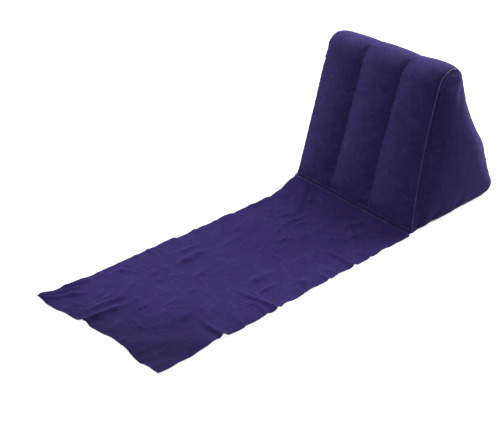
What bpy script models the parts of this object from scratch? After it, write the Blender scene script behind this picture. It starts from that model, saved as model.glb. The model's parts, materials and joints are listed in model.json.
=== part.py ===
"""Inflatable beach mat with a wedge backrest, in metres, +Z up.

The wedge stands at the rear (+Y) and the mat lies in front of it (-Y). The wedge's outline is
one closed line in the YZ plane, walked by a station from 0 to 5: 0 to 1 up the front, 1 to 2
over the ridge, 2 to 3 down the back, 3 to 4 round the lower rear corner and 4 to 5 forward
under the base. The welded seams follow that line, and the panels swell out from it.
"""

import math

import bmesh
import bpy
from mathutils import Matrix, Vector

# Driving dimensions of the wedge, all to the welded seams
BASE_WIDTH = 0.450
RIDGE_WIDTH = 0.396
DEPTH = 0.388
HEIGHT = 0.455
SEAM_HEIGHT = 0.020
RIDGE_Y = 0.140
RIDGE_RADIUS = 0.054
CORNER_RADIUS = 0.028
FRONT_BOW = 0.006
BACK_DIP = 0.0135

# How far the air swells each face out from its seams
FRONT_CROWN = 0.022
RIDGE_CROWN = 0.008
BACK_CROWN = 0.018
CORNER_CROWN = 0.009
BASE_SAG = 0.034
SIDE_CROWN = 0.026

# Driving dimensions of the mat
MAT_LENGTH = 0.900
MAT_WIDTH = 0.434
MAT_SKEW = 0.048
MAT_OFFSET = 0.006
MAT_RAMP = 0.095

# Sheets, welds and clearances
SHEET = 0.0008
WELD_RADIUS = 0.0015
CLEARANCE = 0.0003
EDGE_INSET = WELD_RADIUS + 2 * CLEARANCE
FLANGE_WIDTH = 0.012
FLANGE_THICKNESS = 0.0024
FLANGE_BEVEL = 0.0005
BAND_WIDTH = 0.008
BAND_THICKNESS = 2 * SHEET
BAND_GAP = 0.0005
BEAM_THICKNESS = 0.0005
BEAM_CLEARANCE = 0.0004
BEAM_HOLE_RADIUS = 0.016
CUT_OVERRUN = 0.005
MERGE_DISTANCE = 0.00001

# The valve
VALVE_HEIGHT = 0.115
VALVE_PAD_RADIUS = 0.034
VALVE_PAD_EDGE = 0.036
BASE_RING_RADIUS = 0.0150
BASE_RING_THICKNESS = 0.0016
BASE_SLEEVE_WALL = 0.0010
BASE_SLEEVE_DEPTH = 0.0060
STEM_RADIUS = 0.0060
STEM_BORE_RADIUS = 0.0040
STEM_DEPTH = 0.0180
STEM_PLAY = 0.0004
COLLAR_RADIUS = 0.0105
COLLAR_THICKNESS = 0.0012
CAP_RADIUS = 0.0070
CAP_THICKNESS = 0.0016
PLUG_LENGTH = 0.0050
PLUG_ROOT_PLAY = 0.0004
PLUG_TIP_PLAY = 0.0016
TETHER_WIDTH = 0.0040
TETHER_THICKNESS = 0.0008
TETHER_OVERHANG = 0.0010
FLAP_THICKNESS = 0.0006
FLAP_LIP = 0.0009

# The outline of the back as (share of the way down, share of the dip), outwards positive
BACK_SHAPE_SHARES = (
    (0.00, 0.00),
    (0.14, -0.70),
    (0.28, -1.00),
    (0.40, -0.74),
    (0.50, -0.16),
    (0.60, 0.58),
    (0.69, 0.66),
    (0.84, 0.24),
    (1.00, 0.00),
)
RIDGE_REAR_ANGLE = math.radians(22)
CORNER_REAR_ANGLE = math.radians(20)

# How far each station is swollen, and where the channels are fully separate (1) or merge (0)
SWELL = (
    (0.00, 0.0),
    (0.15, FRONT_CROWN),
    (0.80, FRONT_CROWN),
    (1.25, RIDGE_CROWN),
    (1.75, RIDGE_CROWN),
    (2.30, BACK_CROWN),
    (2.80, BACK_CROWN),
    (3.20, CORNER_CROWN),
    (3.62, CORNER_CROWN),
    (4.25, BASE_SAG),
    (4.78, BASE_SAG),
    (5.00, 0.0),
)
CHANNEL_SHARES = (
    (0.05, 0.0),
    (0.16, 1.0),
    (1.02, 1.0),
    (1.42, 0.35),
    (1.70, 0.35),
    (2.12, 1.0),
    (2.80, 1.0),
    (3.20, 0.0),
)
CHANNELS = 3
CREASE_SHARE = 1 / CHANNELS

# Where the welds lie down the back and round the corner, and the webs up the front and back
RIDGE_WELD_SHARE = 0.10
REAR_WELD_SHARE = 0.45
BEAM_FRONT_SHARES = (0.19, 0.92)
BEAM_BACK_SHARES = (0.22, 0.78)

# How finely the sheets are divided
FRONT_ROWS = 16
RIDGE_ROWS = 11
BACK_ROWS = 13
CORNER_ROWS = 6
BASE_ROWS = 8
COLUMNS_PER_CHANNEL = 6
MAT_COLUMNS = 16
MAT_ROWS = 34
BAND_ROWS = 3
ROUND_SIDES = 32

# The mat's main folds: start and end as (share of half width, share of length), then sizes
MAT_FOLD_WIDTH = 0.016
MAT_FOLD_HEIGHT = 0.009
MAT_FOLD_SHARES = (
    ((-0.26, 1.00), (-0.10, 0.84), 0.9),
    ((1.00, 0.755), (0.50, 0.745), 1.0),
    ((1.00, 0.575), (0.42, 0.600), 0.9),
    ((-0.98, 1.00), (-0.76, 0.84), 0.7),
    ((-1.00, 0.66), (-0.62, 0.655), 0.5),
    ((-1.00, 0.48), (-0.74, 0.47), 0.5),
)
MAT_SWELL_HEIGHT = 0.006
MAT_SWELL_SHARES = (0.30, 0.86, 0.45, 0.10)

FLOCKED_COLOUR = (0.047, 0.034, 0.145, 1.0)
PLAIN_COLOUR = (0.033, 0.026, 0.105, 1.0)
WEB_COLOUR = (0.060, 0.050, 0.160, 1.0)
WELD_COLOUR = (0.160, 0.140, 0.290, 1.0)
VALVE_COLOUR = (0.045, 0.035, 0.150, 1.0)


def clear_scene():
    for item in list(bpy.data.objects):
        bpy.data.objects.remove(item, do_unlink=True)


def make_collection(name):
    collection = bpy.data.collections.new(name)
    bpy.context.scene.collection.children.link(collection)
    return collection


def make_material(name, colour, roughness):
    material = bpy.data.materials.new(name)
    material.use_nodes = True
    shader = material.node_tree.nodes["Principled BSDF"]
    shader.inputs["Base Color"].default_value = colour
    shader.inputs["Roughness"].default_value = roughness
    shader.inputs["Metallic"].default_value = 0.0
    material.diffuse_color = colour
    return material


def flocked(name):
    return make_material(name, FLOCKED_COLOUR, 0.9)


def smooth(share):
    share = min(max(share, 0.0), 1.0)
    return share * share * (3 - 2 * share)


def read_table(table, place):
    """The value at a place, eased between the rows of a table."""
    if place <= table[0][0]:
        return table[0][1]
    for (low, start), (high, end) in zip(table, table[1:]):
        if place <= high:
            return start + (end - start) * smooth((place - low) / (high - low))
    return table[-1][1]


def through(points, share):
    """A smooth line through (share, value) points, with the slope of each one's neighbours."""
    for i in range(len(points) - 1):
        if share <= points[i + 1][0] or i == len(points) - 2:
            break
    (x0, y0), (x1, y1) = points[i], points[i + 1]
    before = points[max(i - 1, 0)]
    after = points[min(i + 2, len(points) - 1)]
    span = x1 - x0
    slope0 = (y1 - before[1]) / (x1 - before[0]) * span
    slope1 = (after[1] - y0) / (after[0] - x0) * span
    t = (share - x0) / span
    return (
        (2 * t**3 - 3 * t**2 + 1) * y0
        + (t**3 - 2 * t**2 + t) * slope0
        + (3 * t**2 - 2 * t**3) * y1
        + (t**3 - t**2) * slope1
    )


# The outline's fixed points
FOOT = Vector((0.0, SEAM_HEIGHT))
RIDGE_CENTRE = Vector((RIDGE_Y, HEIGHT - RIDGE_RADIUS))
CORNER_CENTRE = Vector((DEPTH - CORNER_RADIUS, SEAM_HEIGHT + CORNER_RADIUS))


def on_circle(centre, radius, angle):
    return centre + radius * Vector((math.cos(angle), math.sin(angle)))


def front_tangent_angle():
    """The angle on the ridge's circle where a line from the foot touches it."""
    down = FOOT - RIDGE_CENTRE
    return math.atan2(down.y, down.x) % math.tau - math.acos(RIDGE_RADIUS / down.length)


RIDGE_FRONT_ANGLE = front_tangent_angle()
FRONT_TOP = on_circle(RIDGE_CENTRE, RIDGE_RADIUS, RIDGE_FRONT_ANGLE)
BACK_TOP = on_circle(RIDGE_CENTRE, RIDGE_RADIUS, RIDGE_REAR_ANGLE)
BACK_FOOT = on_circle(CORNER_CENTRE, CORNER_RADIUS, CORNER_REAR_ANGLE)


def outline(station):
    """The seam's place (y, z) at a station from 0 to 5."""
    part, share = min(int(station), 4), station - min(int(station), 4)
    if part == 0:
        line = FRONT_TOP - FOOT
        out = Vector((-line.y, line.x)).normalized()
        return FOOT + line * share + out * FRONT_BOW * math.sin(math.pi * share)
    if part == 1:
        turn = RIDGE_FRONT_ANGLE + (RIDGE_REAR_ANGLE - RIDGE_FRONT_ANGLE) * share
        return on_circle(RIDGE_CENTRE, RIDGE_RADIUS, turn)
    if part == 2:
        line = BACK_FOOT - BACK_TOP
        out = Vector((-line.y, line.x)).normalized()
        return BACK_TOP + line * share + out * BACK_DIP * through(BACK_SHAPE_SHARES, share)
    if part == 3:
        turn = CORNER_REAR_ANGLE + (-math.pi / 2 - CORNER_REAR_ANGLE) * share
        return on_circle(CORNER_CENTRE, CORNER_RADIUS, turn)
    return Vector((CORNER_CENTRE.x * (1 - share), SEAM_HEIGHT))


def outward(station):
    """The outline's outward direction (y, z) at a station."""
    step = 1e-3
    along = outline(min(station + step, 5)) - outline(max(station - step, 0))
    return Vector((-along.y, along.x)).normalized()


def run_length(part):
    """The length of one of the outline's five parts."""
    steps = 40
    points = [outline(part + i / steps * (1 - 1e-9)) for i in range(steps + 1)]
    return sum((b - a).length for a, b in zip(points, points[1:]))


def half_width(z):
    """Half the distance between the side seams at a height: the sides lean in."""
    share = (z - SEAM_HEIGHT) / (HEIGHT - SEAM_HEIGHT)
    return (BASE_WIDTH + (RIDGE_WIDTH - BASE_WIDTH) * share) / 2


def crown(across, channels):
    """How much of the swell a point gets, from its share of the half width."""
    whole = 1 - abs(across) ** 6
    place = (across + 1) / 2 * CHANNELS
    inside = 2 * (place - math.floor(min(place, CHANNELS - 1e-9))) - 1
    channel = 1 - min(inside * inside, 1.0)
    return whole + (channel - whole) * channels


def valve_station():
    """The station on the back at the valve's height."""
    low, high = 2.0, 3.0
    for _ in range(40):
        middle = (low + high) / 2
        if outline(middle).y > VALVE_HEIGHT:
            low = middle
        else:
            high = middle
    return low


VALVE_STATION = valve_station()
VALVE_OUT = Vector((0.0, *outward(VALVE_STATION)))
VALVE_PLACE = Vector((0.0, *outline(VALVE_STATION))) + VALVE_OUT * BACK_CROWN


def flatten_for_valve(point):
    """Round the valve the sheet is stiff and lies flat."""
    offset = point - VALVE_PLACE
    rise = offset.dot(VALVE_OUT)
    reach = (offset - VALVE_OUT * rise).length
    share = 1 - smooth((reach - VALVE_PAD_RADIUS) / VALVE_PAD_EDGE)
    return point - VALVE_OUT * rise * share


def skin(across, station):
    """A point of the wedge's front, ridge, back or base, blown up."""
    seam = outline(station)
    swell = read_table(SWELL, station) * crown(across, read_table(CHANNEL_SHARES, station))
    y, z = seam + outward(station) * swell
    width = half_width(seam.y) - EDGE_INSET
    point = Vector((across * width, y, max(z, 0.0)))
    if 2 < station < 3:
        point = flatten_for_valve(point)
    return point


def stations(part, rows, fine=1.0):
    """The stations of one part's rows, its last one left out."""
    return [part + (i / rows) ** fine for i in range(rows)]


FRONT_STATIONS = stations(0, FRONT_ROWS, 1.2)
RIDGE_STATIONS = stations(1, RIDGE_ROWS)
BACK_STATIONS = stations(2, BACK_ROWS)
CORNER_STATIONS = stations(3, CORNER_ROWS)
BASE_STATIONS = [5 - (i / BASE_ROWS) ** 1.3 for i in range(BASE_ROWS, 0, -1)]
ALL_STATIONS = FRONT_STATIONS + RIDGE_STATIONS + BACK_STATIONS + CORNER_STATIONS + BASE_STATIONS


def rows_between(low, high):
    """The rows of a sheet from one station to another."""
    gap = (high - low) / 1000
    return [low] + [s for s in ALL_STATIONS if low + gap < s < high - gap] + [high]


def columns(per_channel):
    count = per_channel * CHANNELS
    return [2 * i / count - 1 for i in range(count + 1)]


def add_object(name, mesh, collection, material, parent):
    item = bpy.data.objects.new(name, mesh)
    collection.objects.link(item)
    item.data.materials.append(material)
    item.parent = parent
    return item


def grid_sheet(name, across, along, place, material, collection, parent, thickness=SHEET, side=-1):
    """A sheet from a grid whose every point is placed by a function of its column and row."""
    bm = bmesh.new()
    wide, long = len(across) - 1, len(along) - 1
    bmesh.ops.create_grid(bm, x_segments=wide, y_segments=long, size=1)
    for vert in bm.verts:
        column = round((vert.co.x + 1) / 2 * wide)
        row = round((vert.co.y + 1) / 2 * long)
        vert.co = place(across[column], along[row])
    mesh = bpy.data.meshes.new(name)
    bm.to_mesh(mesh)
    bm.free()
    mesh.shade_smooth()
    item = add_object(name, mesh, collection, material, parent)
    wall = item.modifiers.new("sheet", "SOLIDIFY")
    wall.thickness = thickness
    wall.offset = side
    return item


def seam_loop():
    """The seam's points all the way round, with the station of each."""
    return [outline(s) for s in ALL_STATIONS]


def inset_loop(points, distance):
    """A closed outline drawn in by a distance, with mitred corners."""
    drawn_in = []
    for i, point in enumerate(points):
        before = (point - points[i - 1]).normalized()
        after = (points[(i + 1) % len(points)] - point).normalized()
        inward = Vector((before.y, -before.x)) + Vector((after.y, -after.x))
        inward.normalize()
        drawn_in.append(point + inward * distance / inward.dot(Vector((before.y, -before.x))))
    return drawn_in


def side_edges():
    """The end sheet's four edges: up the front, up the back, along the base, along the ridge."""
    loop = inset_loop(seam_loop(), EDGE_INSET)
    front = loop[: FRONT_ROWS + 1]
    ridge = loop[FRONT_ROWS : FRONT_ROWS + RIDGE_ROWS + 1]
    back_rows = FRONT_ROWS
    start = FRONT_ROWS + RIDGE_ROWS
    back = loop[start : start + back_rows + 1]
    base = loop[start + back_rows :] + loop[:1]
    return front, back[::-1], base[::-1], ridge


def make_side_panel(name, side, collection, parent):
    front, back, base, ridge = side_edges()
    wide, high = len(base) - 1, len(front) - 1

    def place(column, row):
        i = column if side > 0 else wide - column
        u, v = i / wide, row / high
        flat = base[i] * (1 - v) + ridge[i] * v + front[row] * (1 - u) + back[row] * u
        flat -= (base[0] * (1 - u) + base[-1] * u) * (1 - v) + (ridge[0] * (1 - u) + ridge[-1] * u) * v
        low = v**0.85
        swell = SIDE_CROWN * (16 * u * (1 - u) * low * (1 - low)) ** 0.6
        return Vector((side * (half_width(flat.y) + swell), flat.x, flat.y))

    columns_here, rows_here = range(wide + 1), range(high + 1)
    return grid_sheet(name, columns_here, rows_here, place, flocked(name), collection, parent)


def make_seam_bead(name, side, collection, parent):
    """The welded edge round an end sheet."""
    curve = bpy.data.curves.new(name, "CURVE")
    curve.dimensions = "3D"
    curve.bevel_depth = WELD_RADIUS
    curve.bevel_resolution = 1
    loop = seam_loop()
    spline = curve.splines.new("POLY")
    spline.points.add(len(loop) - 1)
    for target, point in zip(spline.points, loop):
        target.co = (side * half_width(point.y), point.x, point.y, 1.0)
    spline.use_cyclic_u = True
    material = make_material(name, WELD_COLOUR, 0.6)
    return add_object(name, curve, collection, material, parent)


def band_stations(middle):
    """The two edges of a weld band as stations."""
    half = BAND_WIDTH / 2 / run_length(int(middle))
    return middle - half, middle + half


def make_weld_band(name, middle, collection, parent):
    across = columns(COLUMNS_PER_CHANNEL)
    low, high = band_stations(middle)
    rows = [low + (high - low) * i / BAND_ROWS for i in range(BAND_ROWS + 1)]
    material = make_material(name, WELD_COLOUR, 0.6)
    return grid_sheet(name, across, rows, skin, material, collection, parent, BAND_THICKNESS)


def make_flange(collection, parent):
    """The flat weld along the foot, where the front, the base and the mat come together."""
    bm = bmesh.new()
    bmesh.ops.create_cube(bm, size=1)
    rear = EDGE_INSET - CLEARANCE * 2
    length = 2 * (half_width(SEAM_HEIGHT) - EDGE_INSET)
    bmesh.ops.scale(bm, vec=(length, FLANGE_WIDTH + rear, FLANGE_THICKNESS), verts=bm.verts)
    mesh = bpy.data.meshes.new("front_weld_flange")
    bm.to_mesh(mesh)
    bm.free()
    material = make_material("front_weld_flange", WELD_COLOUR, 0.7)
    item = add_object("front_weld_flange", mesh, collection, material, parent)
    item.location = (0, (rear - FLANGE_WIDTH) / 2, SEAM_HEIGHT)
    edge = item.modifiers.new("edge", "BEVEL")
    edge.width = FLANGE_BEVEL
    edge.segments = 1
    return item


def make_wedge_sheets(collection, parent):
    """The front, back and base sheets between their welds."""
    across = columns(COLUMNS_PER_CHANNEL)
    foot_gap = (FLANGE_THICKNESS / 2 + CLEARANCE) / run_length(0)
    base_gap = EDGE_INSET / run_length(4)
    ridge_low, ridge_high = band_stations(2 + RIDGE_WELD_SHARE)
    rear_low, rear_high = band_stations(3 + REAR_WELD_SHARE)
    back_gap = BAND_GAP / run_length(2)
    corner_gap = BAND_GAP / run_length(3)
    spans = (
        ("front_panel", foot_gap, ridge_low - back_gap, flocked("front_panel")),
        ("back_panel", ridge_high + back_gap, rear_low - corner_gap, flocked("back_panel")),
        (
            "base_panel",
            rear_high + corner_gap,
            5 - base_gap,
            make_material("base_panel", PLAIN_COLOUR, 0.5),
        ),
    )
    sheets = {}
    for name, low, high, material in spans:
        rows = rows_between(low, high)
        sheets[name] = grid_sheet(name, across, rows, skin, material, collection, parent)
    return sheets


def make_beam(name, side, collection, parent):
    """An inner web: a flat sheet from the front crease to the back crease, with air holes."""
    lean = math.atan(CREASE_SHARE * (BASE_WIDTH - RIDGE_WIDTH) / 2 / (HEIGHT - SEAM_HEIGHT))
    inset = SHEET + BEAM_CLEARANCE

    def flat(station, depth):
        point = outline(station) - outward(station) * depth
        return Vector((point.x, (point.y - SEAM_HEIGHT) / math.cos(lean)))

    front_low, front_high = BEAM_FRONT_SHARES
    back_high, back_low = (2 + share for share in BEAM_BACK_SHARES)
    front = [flat(s, inset) for s in rows_between(front_low, front_high)]
    back = [flat(s, inset) for s in rows_between(back_high, back_low)]
    curve = bpy.data.curves.new(name, "CURVE")
    curve.dimensions = "2D"
    curve.fill_mode = "BOTH"
    curve.extrude = BEAM_THICKNESS / 2
    add_flat_line(curve, front + back)
    middle_low = (front[0] + back[-1]) / 2
    middle_high = (front[-1] + back[0]) / 2
    for share in (0.18, 0.50, 0.82):
        centre = middle_low + (middle_high - middle_low) * share
        circle = [on_circle(centre, BEAM_HOLE_RADIUS, math.tau * i / 16) for i in range(16)]
        add_flat_line(curve, circle)
    item = add_object(name, curve, collection, make_material(name, WEB_COLOUR, 0.5), parent)
    rise = Vector((-side * math.sin(lean), 0, math.cos(lean)))
    along = Vector((0, 1, 0))
    item.matrix_world = Matrix.Translation(
        (side * CREASE_SHARE * half_width(SEAM_HEIGHT), 0, SEAM_HEIGHT)
    ) @ Matrix((along, rise, along.cross(rise))).transposed().to_4x4()
    return item


def add_flat_line(curve, points):
    spline = curve.splines.new("POLY")
    spline.points.add(len(points) - 1)
    for target, point in zip(spline.points, points):
        target.co = (point.x, point.y, 0, 1)
    spline.use_cyclic_u = True


# The mat's hinge line is its rear top edge, just in front of the flange
HINGE = Vector((0.0, -FLANGE_WIDTH - CLEARANCE, SEAM_HEIGHT + SHEET / 2))


def fold_height(across, along, fold):
    """How far one fold lifts the mat at a point given in shares."""
    (x0, y0), (x1, y1), strength = fold
    wide, long = MAT_WIDTH / 2, MAT_LENGTH
    start, end = Vector((x0 * wide, y0 * long)), Vector((x1 * wide, y1 * long))
    line = end - start
    offset = Vector((across * wide, along * long)) - start
    share = offset.dot(line) / line.length_squared
    aside = (offset - line * share).length / MAT_FOLD_WIDTH
    fade = 1 - smooth(share)
    lead = smooth((share + 0.25) * 4)
    return MAT_FOLD_HEIGHT * strength * math.exp(-aside * aside) * fade * lead


def mat_point(across, along):
    """A point of the mat's underside, from the hinge line, at shares of its half width and length."""
    length = MAT_LENGTH - MAT_SKEW / 2 * across
    y = -along * length
    ramp = 1 - smooth(along * length / MAT_RAMP)
    z = (SEAM_HEIGHT - SHEET / 2) * ramp
    settled = smooth((along * length - MAT_RAMP) / MAT_RAMP)
    z += settled * sum(fold_height(across, along, fold) for fold in MAT_FOLD_SHARES)
    x_low, y_low, x_reach, y_reach = MAT_SWELL_SHARES
    hump = ((across - x_low - 0.5 * (0.9 - along)) / x_reach) ** 2 + ((along - y_low) / y_reach) ** 2
    z += settled * MAT_SWELL_HEIGHT * math.exp(-hump)
    return Vector((MAT_OFFSET + across * MAT_WIDTH / 2, y, z - HINGE.z))


def make_mat(collection, parent):
    """The mat, with its origin on the hinge line."""
    across = [1 - 2 * i / MAT_COLUMNS for i in range(MAT_COLUMNS + 1)]
    along = [(i / MAT_ROWS) ** 1.15 for i in range(MAT_ROWS + 1)]
    axis = bpy.data.objects.new("mat_fold_axis", None)
    collection.objects.link(axis)
    axis.parent = parent
    axis.location = HINGE
    return grid_sheet(
        "mat_sheet", across, along, mat_point, flocked("mat_sheet"), collection, axis, SHEET, 1
    )


def make_turned(name, profile, collection, parent, material):
    """A closed profile of (radius, height) points turned about the local Z axis."""
    mesh = bpy.data.meshes.new(name)
    bm = bmesh.new()
    verts = [bm.verts.new((radius, 0, height)) for radius, height in profile]
    for a, b in zip(verts, verts[1:]):
        bm.edges.new((a, b))
    if profile[0][0] > 0:
        bm.edges.new((verts[-1], verts[0]))
    bm.to_mesh(mesh)
    bm.free()
    item = add_object(name, mesh, collection, material, parent)
    turn = item.modifiers.new("turn", "SCREW")
    turn.axis = "Z"
    turn.steps = ROUND_SIDES
    turn.render_steps = ROUND_SIDES
    turn.use_merge_vertices = True
    turn.merge_threshold = MERGE_DISTANCE
    return item


def make_valve(back_panel, collection, cutters, parent):
    """A push-in valve low on the back, along its own outward axis."""
    axis = bpy.data.objects.new("valve_axis", None)
    collection.objects.link(axis)
    axis.parent = parent
    turn = Matrix((Vector((1, 0, 0)), VALVE_OUT.cross(Vector((1, 0, 0))), VALVE_OUT)).transposed()
    axis.matrix_world = Matrix.Translation(VALVE_PLACE) @ turn.to_4x4()

    ring_low = CLEARANCE
    ring_top = ring_low + BASE_RING_THICKNESS
    sleeve_inner = STEM_RADIUS + STEM_PLAY
    sleeve_outer = sleeve_inner + BASE_SLEEVE_WALL
    base_profile = (
        (BASE_RING_RADIUS, ring_top - BASE_RING_THICKNESS / 2),
        (BASE_RING_RADIUS, ring_low),
        (sleeve_outer, ring_low),
        (sleeve_outer, -BASE_SLEEVE_DEPTH),
        (sleeve_inner, -BASE_SLEEVE_DEPTH),
        (sleeve_inner, ring_top),
        (BASE_RING_RADIUS - BASE_RING_THICKNESS / 2, ring_top),
    )
    material = make_material("valve_base", VALVE_COLOUR, 0.35)
    base = make_turned("valve_base", base_profile, collection, axis, material)

    cutter_mesh = bpy.data.meshes.new("valve_hole_cutter")
    bm = bmesh.new()
    hole_radius = sleeve_outer + CLEARANCE
    bmesh.ops.create_cone(
        bm, cap_ends=True, segments=ROUND_SIDES, radius1=hole_radius, radius2=hole_radius,
        depth=2 * CUT_OVERRUN,
    )
    bm.to_mesh(cutter_mesh)
    bm.free()
    cutter = bpy.data.objects.new("valve_hole_cutter", cutter_mesh)
    cutters.objects.link(cutter)
    cutter.parent = axis
    cutter.hide_render = True
    cutter.display_type = "WIRE"
    hole = back_panel.modifiers.new("valve_hole", "BOOLEAN")
    hole.operation = "DIFFERENCE"
    hole.object = cutter

    stem_axis = bpy.data.objects.new("valve_stem_axis", None)
    collection.objects.link(stem_axis)
    stem_axis.parent = axis
    collar_low = ring_top + CLEARANCE
    collar_top = collar_low + COLLAR_THICKNESS
    stem_profile = (
        (COLLAR_RADIUS, collar_top),
        (COLLAR_RADIUS, collar_low),
        (STEM_RADIUS, collar_low),
        (STEM_RADIUS, -STEM_DEPTH),
        (STEM_BORE_RADIUS, -STEM_DEPTH),
        (STEM_BORE_RADIUS, collar_top),
    )
    material = make_material("valve_stem", VALVE_COLOUR, 0.35)
    make_turned("valve_stem", stem_profile, collection, stem_axis, material)

    tether_z = collar_top + CLEARANCE + TETHER_THICKNESS / 2
    tether_end = COLLAR_RADIUS - TETHER_OVERHANG
    plug_axis = bpy.data.objects.new("valve_plug_axis", None)
    collection.objects.link(plug_axis)
    plug_axis.parent = stem_axis
    plug_axis.location = (tether_end, 0, tether_z)
    cap_low = collar_top + CLEARANCE - tether_z
    cap_top = cap_low + CAP_THICKNESS
    plug_profile = (
        (0, cap_top),
        (CAP_RADIUS - CAP_THICKNESS / 4, cap_top),
        (CAP_RADIUS, cap_top - CAP_THICKNESS / 4),
        (CAP_RADIUS, cap_low),
        (STEM_BORE_RADIUS - PLUG_ROOT_PLAY, cap_low),
        (STEM_BORE_RADIUS - PLUG_TIP_PLAY, cap_low - PLUG_LENGTH),
        (0, cap_low - PLUG_LENGTH),
    )
    material = make_material("valve_plug", VALVE_COLOUR, 0.3)
    plug = make_turned("valve_plug", plug_profile, collection, plug_axis, material)
    plug.location = (-tether_end, 0, 0)

    tether_start = CAP_RADIUS + CLEARANCE
    bm = bmesh.new()
    bmesh.ops.create_cube(bm, size=1)
    tether_length = tether_end - tether_start
    bmesh.ops.scale(bm, vec=(tether_length, TETHER_WIDTH, TETHER_THICKNESS), verts=bm.verts)
    bmesh.ops.translate(bm, vec=(-tether_length / 2, 0, 0), verts=bm.verts)
    mesh = bpy.data.meshes.new("valve_tether")
    bm.to_mesh(mesh)
    bm.free()
    material = make_material("valve_tether", VALVE_COLOUR, 0.35)
    add_object("valve_tether", mesh, collection, material, plug_axis)

    flap_radius = STEM_BORE_RADIUS + FLAP_LIP
    flap_axis = bpy.data.objects.new("valve_flap_axis", None)
    collection.objects.link(flap_axis)
    flap_axis.parent = stem_axis
    flap_axis.location = (flap_radius, 0, -STEM_DEPTH - CLEARANCE)
    flap_profile = (
        (0, 0),
        (flap_radius, 0),
        (flap_radius, -FLAP_THICKNESS),
        (0, -FLAP_THICKNESS),
    )
    material = make_material("valve_flap", VALVE_COLOUR, 0.4)
    flap = make_turned("valve_flap", flap_profile, collection, flap_axis, material)
    flap.location = (-flap_radius, 0, 0)
    return base


def centre_on_origin(collection, root):
    """Move the whole part so that the origin is under the middle of its box."""
    bpy.context.view_layer.update()
    graph = bpy.context.evaluated_depsgraph_get()
    low, high = math.inf, -math.inf
    for item in collection.objects:
        if item.type == "EMPTY":
            continue
        shape = item.evaluated_get(graph)
        mesh = shape.to_mesh()
        for vert in mesh.vertices:
            y = (shape.matrix_world @ vert.co).y
            low, high = min(low, y), max(high, y)
        shape.to_mesh_clear()
    root.location.y = -(low + high) / 2


def main():
    clear_scene()
    collection = make_collection("beach_mat_with_backrest")
    cutters = make_collection("cutters")
    root = bpy.data.objects.new("root", None)
    collection.objects.link(root)
    sheets = make_wedge_sheets(collection, root)
    make_weld_band("ridge_weld_band", 2 + RIDGE_WELD_SHARE, collection, root)
    make_weld_band("rear_weld_band", 3 + REAR_WELD_SHARE, collection, root)
    make_flange(collection, root)
    for word, side in (("left", -1), ("right", 1)):
        make_side_panel("side_panel_" + word, side, collection, root)
        make_seam_bead("seam_bead_" + word, side, collection, root)
        make_beam("beam_" + word, side, collection, root)
    make_mat(collection, root)
    make_valve(sheets["back_panel"], collection, cutters, root)
    centre_on_origin(collection, root)
    bpy.context.view_layer.update()
    for item in collection.objects:
        if item.type == "EMPTY":
            place = item.matrix_world
            print(item.name, [round(v, 5) for v in place.translation], [round(v, 5) for v in place.col[2]])


main()
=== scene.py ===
"""The looks of an inflatable beach mat with a wedge backrest, in metres, +Z up.

The packed model is loaded as a fixed frame. Each operator makes one piece, or a group of like
pieces, on it. The wedge's welded seams follow one closed line in the YZ plane, walked by a
station from 0 to 5: 0 to 1 up the front, 1 to 2 over the ridge, 2 to 3 down the back, 3 to 4
round the lower rear corner and 4 to 5 forward under the base.
"""

import functools
import json
import math

import bpy
import numpy as np
from bpy.props import FloatProperty, FloatVectorProperty, IntProperty, PointerProperty
from mathutils import Matrix, Vector, noise


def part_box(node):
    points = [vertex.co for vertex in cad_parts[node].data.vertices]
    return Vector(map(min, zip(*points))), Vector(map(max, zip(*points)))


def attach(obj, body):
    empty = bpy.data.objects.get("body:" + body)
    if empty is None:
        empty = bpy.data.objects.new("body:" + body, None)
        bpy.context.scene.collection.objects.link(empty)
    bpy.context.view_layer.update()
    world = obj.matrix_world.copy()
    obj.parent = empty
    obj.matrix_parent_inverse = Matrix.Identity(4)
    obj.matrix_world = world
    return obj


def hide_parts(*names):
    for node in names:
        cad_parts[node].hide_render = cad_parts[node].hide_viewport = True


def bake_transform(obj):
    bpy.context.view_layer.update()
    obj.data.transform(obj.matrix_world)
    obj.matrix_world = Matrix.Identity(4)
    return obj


bl_info = {
    "name": "Inflatable beach mat looks",
    "version": (1, 0, 0),
    "blender": (4, 5, 0),
    "location": "View3D > Sidebar > Beach mat",
    "description": "Dresses the packed frame of an inflatable beach mat with a wedge backrest",
    "category": "Object",
}

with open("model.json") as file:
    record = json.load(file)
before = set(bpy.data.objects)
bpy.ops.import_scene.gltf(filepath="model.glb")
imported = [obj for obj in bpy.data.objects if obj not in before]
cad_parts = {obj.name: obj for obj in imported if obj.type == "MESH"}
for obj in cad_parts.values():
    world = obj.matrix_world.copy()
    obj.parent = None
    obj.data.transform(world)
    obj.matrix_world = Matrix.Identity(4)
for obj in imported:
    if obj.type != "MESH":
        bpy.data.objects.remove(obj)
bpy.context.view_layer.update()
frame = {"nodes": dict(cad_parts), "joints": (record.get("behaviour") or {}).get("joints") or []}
PHOTO_WIDTH = 500

# What the frame says of the mat's hinge, the flange and the valve
JOINTS = {joint["name"]: joint for joint in frame["joints"]}
HINGE = Vector(JOINTS["mat_fold"]["pos_m"])
FLANGE_LOW, FLANGE_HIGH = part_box("front_weld_flange")
VALVE_OUT = Vector(JOINTS["valve_pull"]["axis"])
PLUG_HINGE = Vector(JOINTS["plug_open"]["pos_m"])
FLANGE_WIDTH = 0.012
FOOT_Y = FLANGE_LOW.y + FLANGE_WIDTH


def number(name, description, default, **kind):
    return FloatProperty(name=name, description=description, default=default, **kind)


def metres(name, description, default):
    return number(name, description, default, unit="LENGTH", precision=4)


def share(name, description, default):
    return number(name, description, default, subtype="FACTOR")


def degrees(name, description, default):
    return number(name, description, math.radians(default), subtype="ANGLE")


def watts(name, description, default):
    return number(name, description, default, unit="POWER")


def integer(name, description, default):
    return IntProperty(name=name, description=description, default=default)


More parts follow.
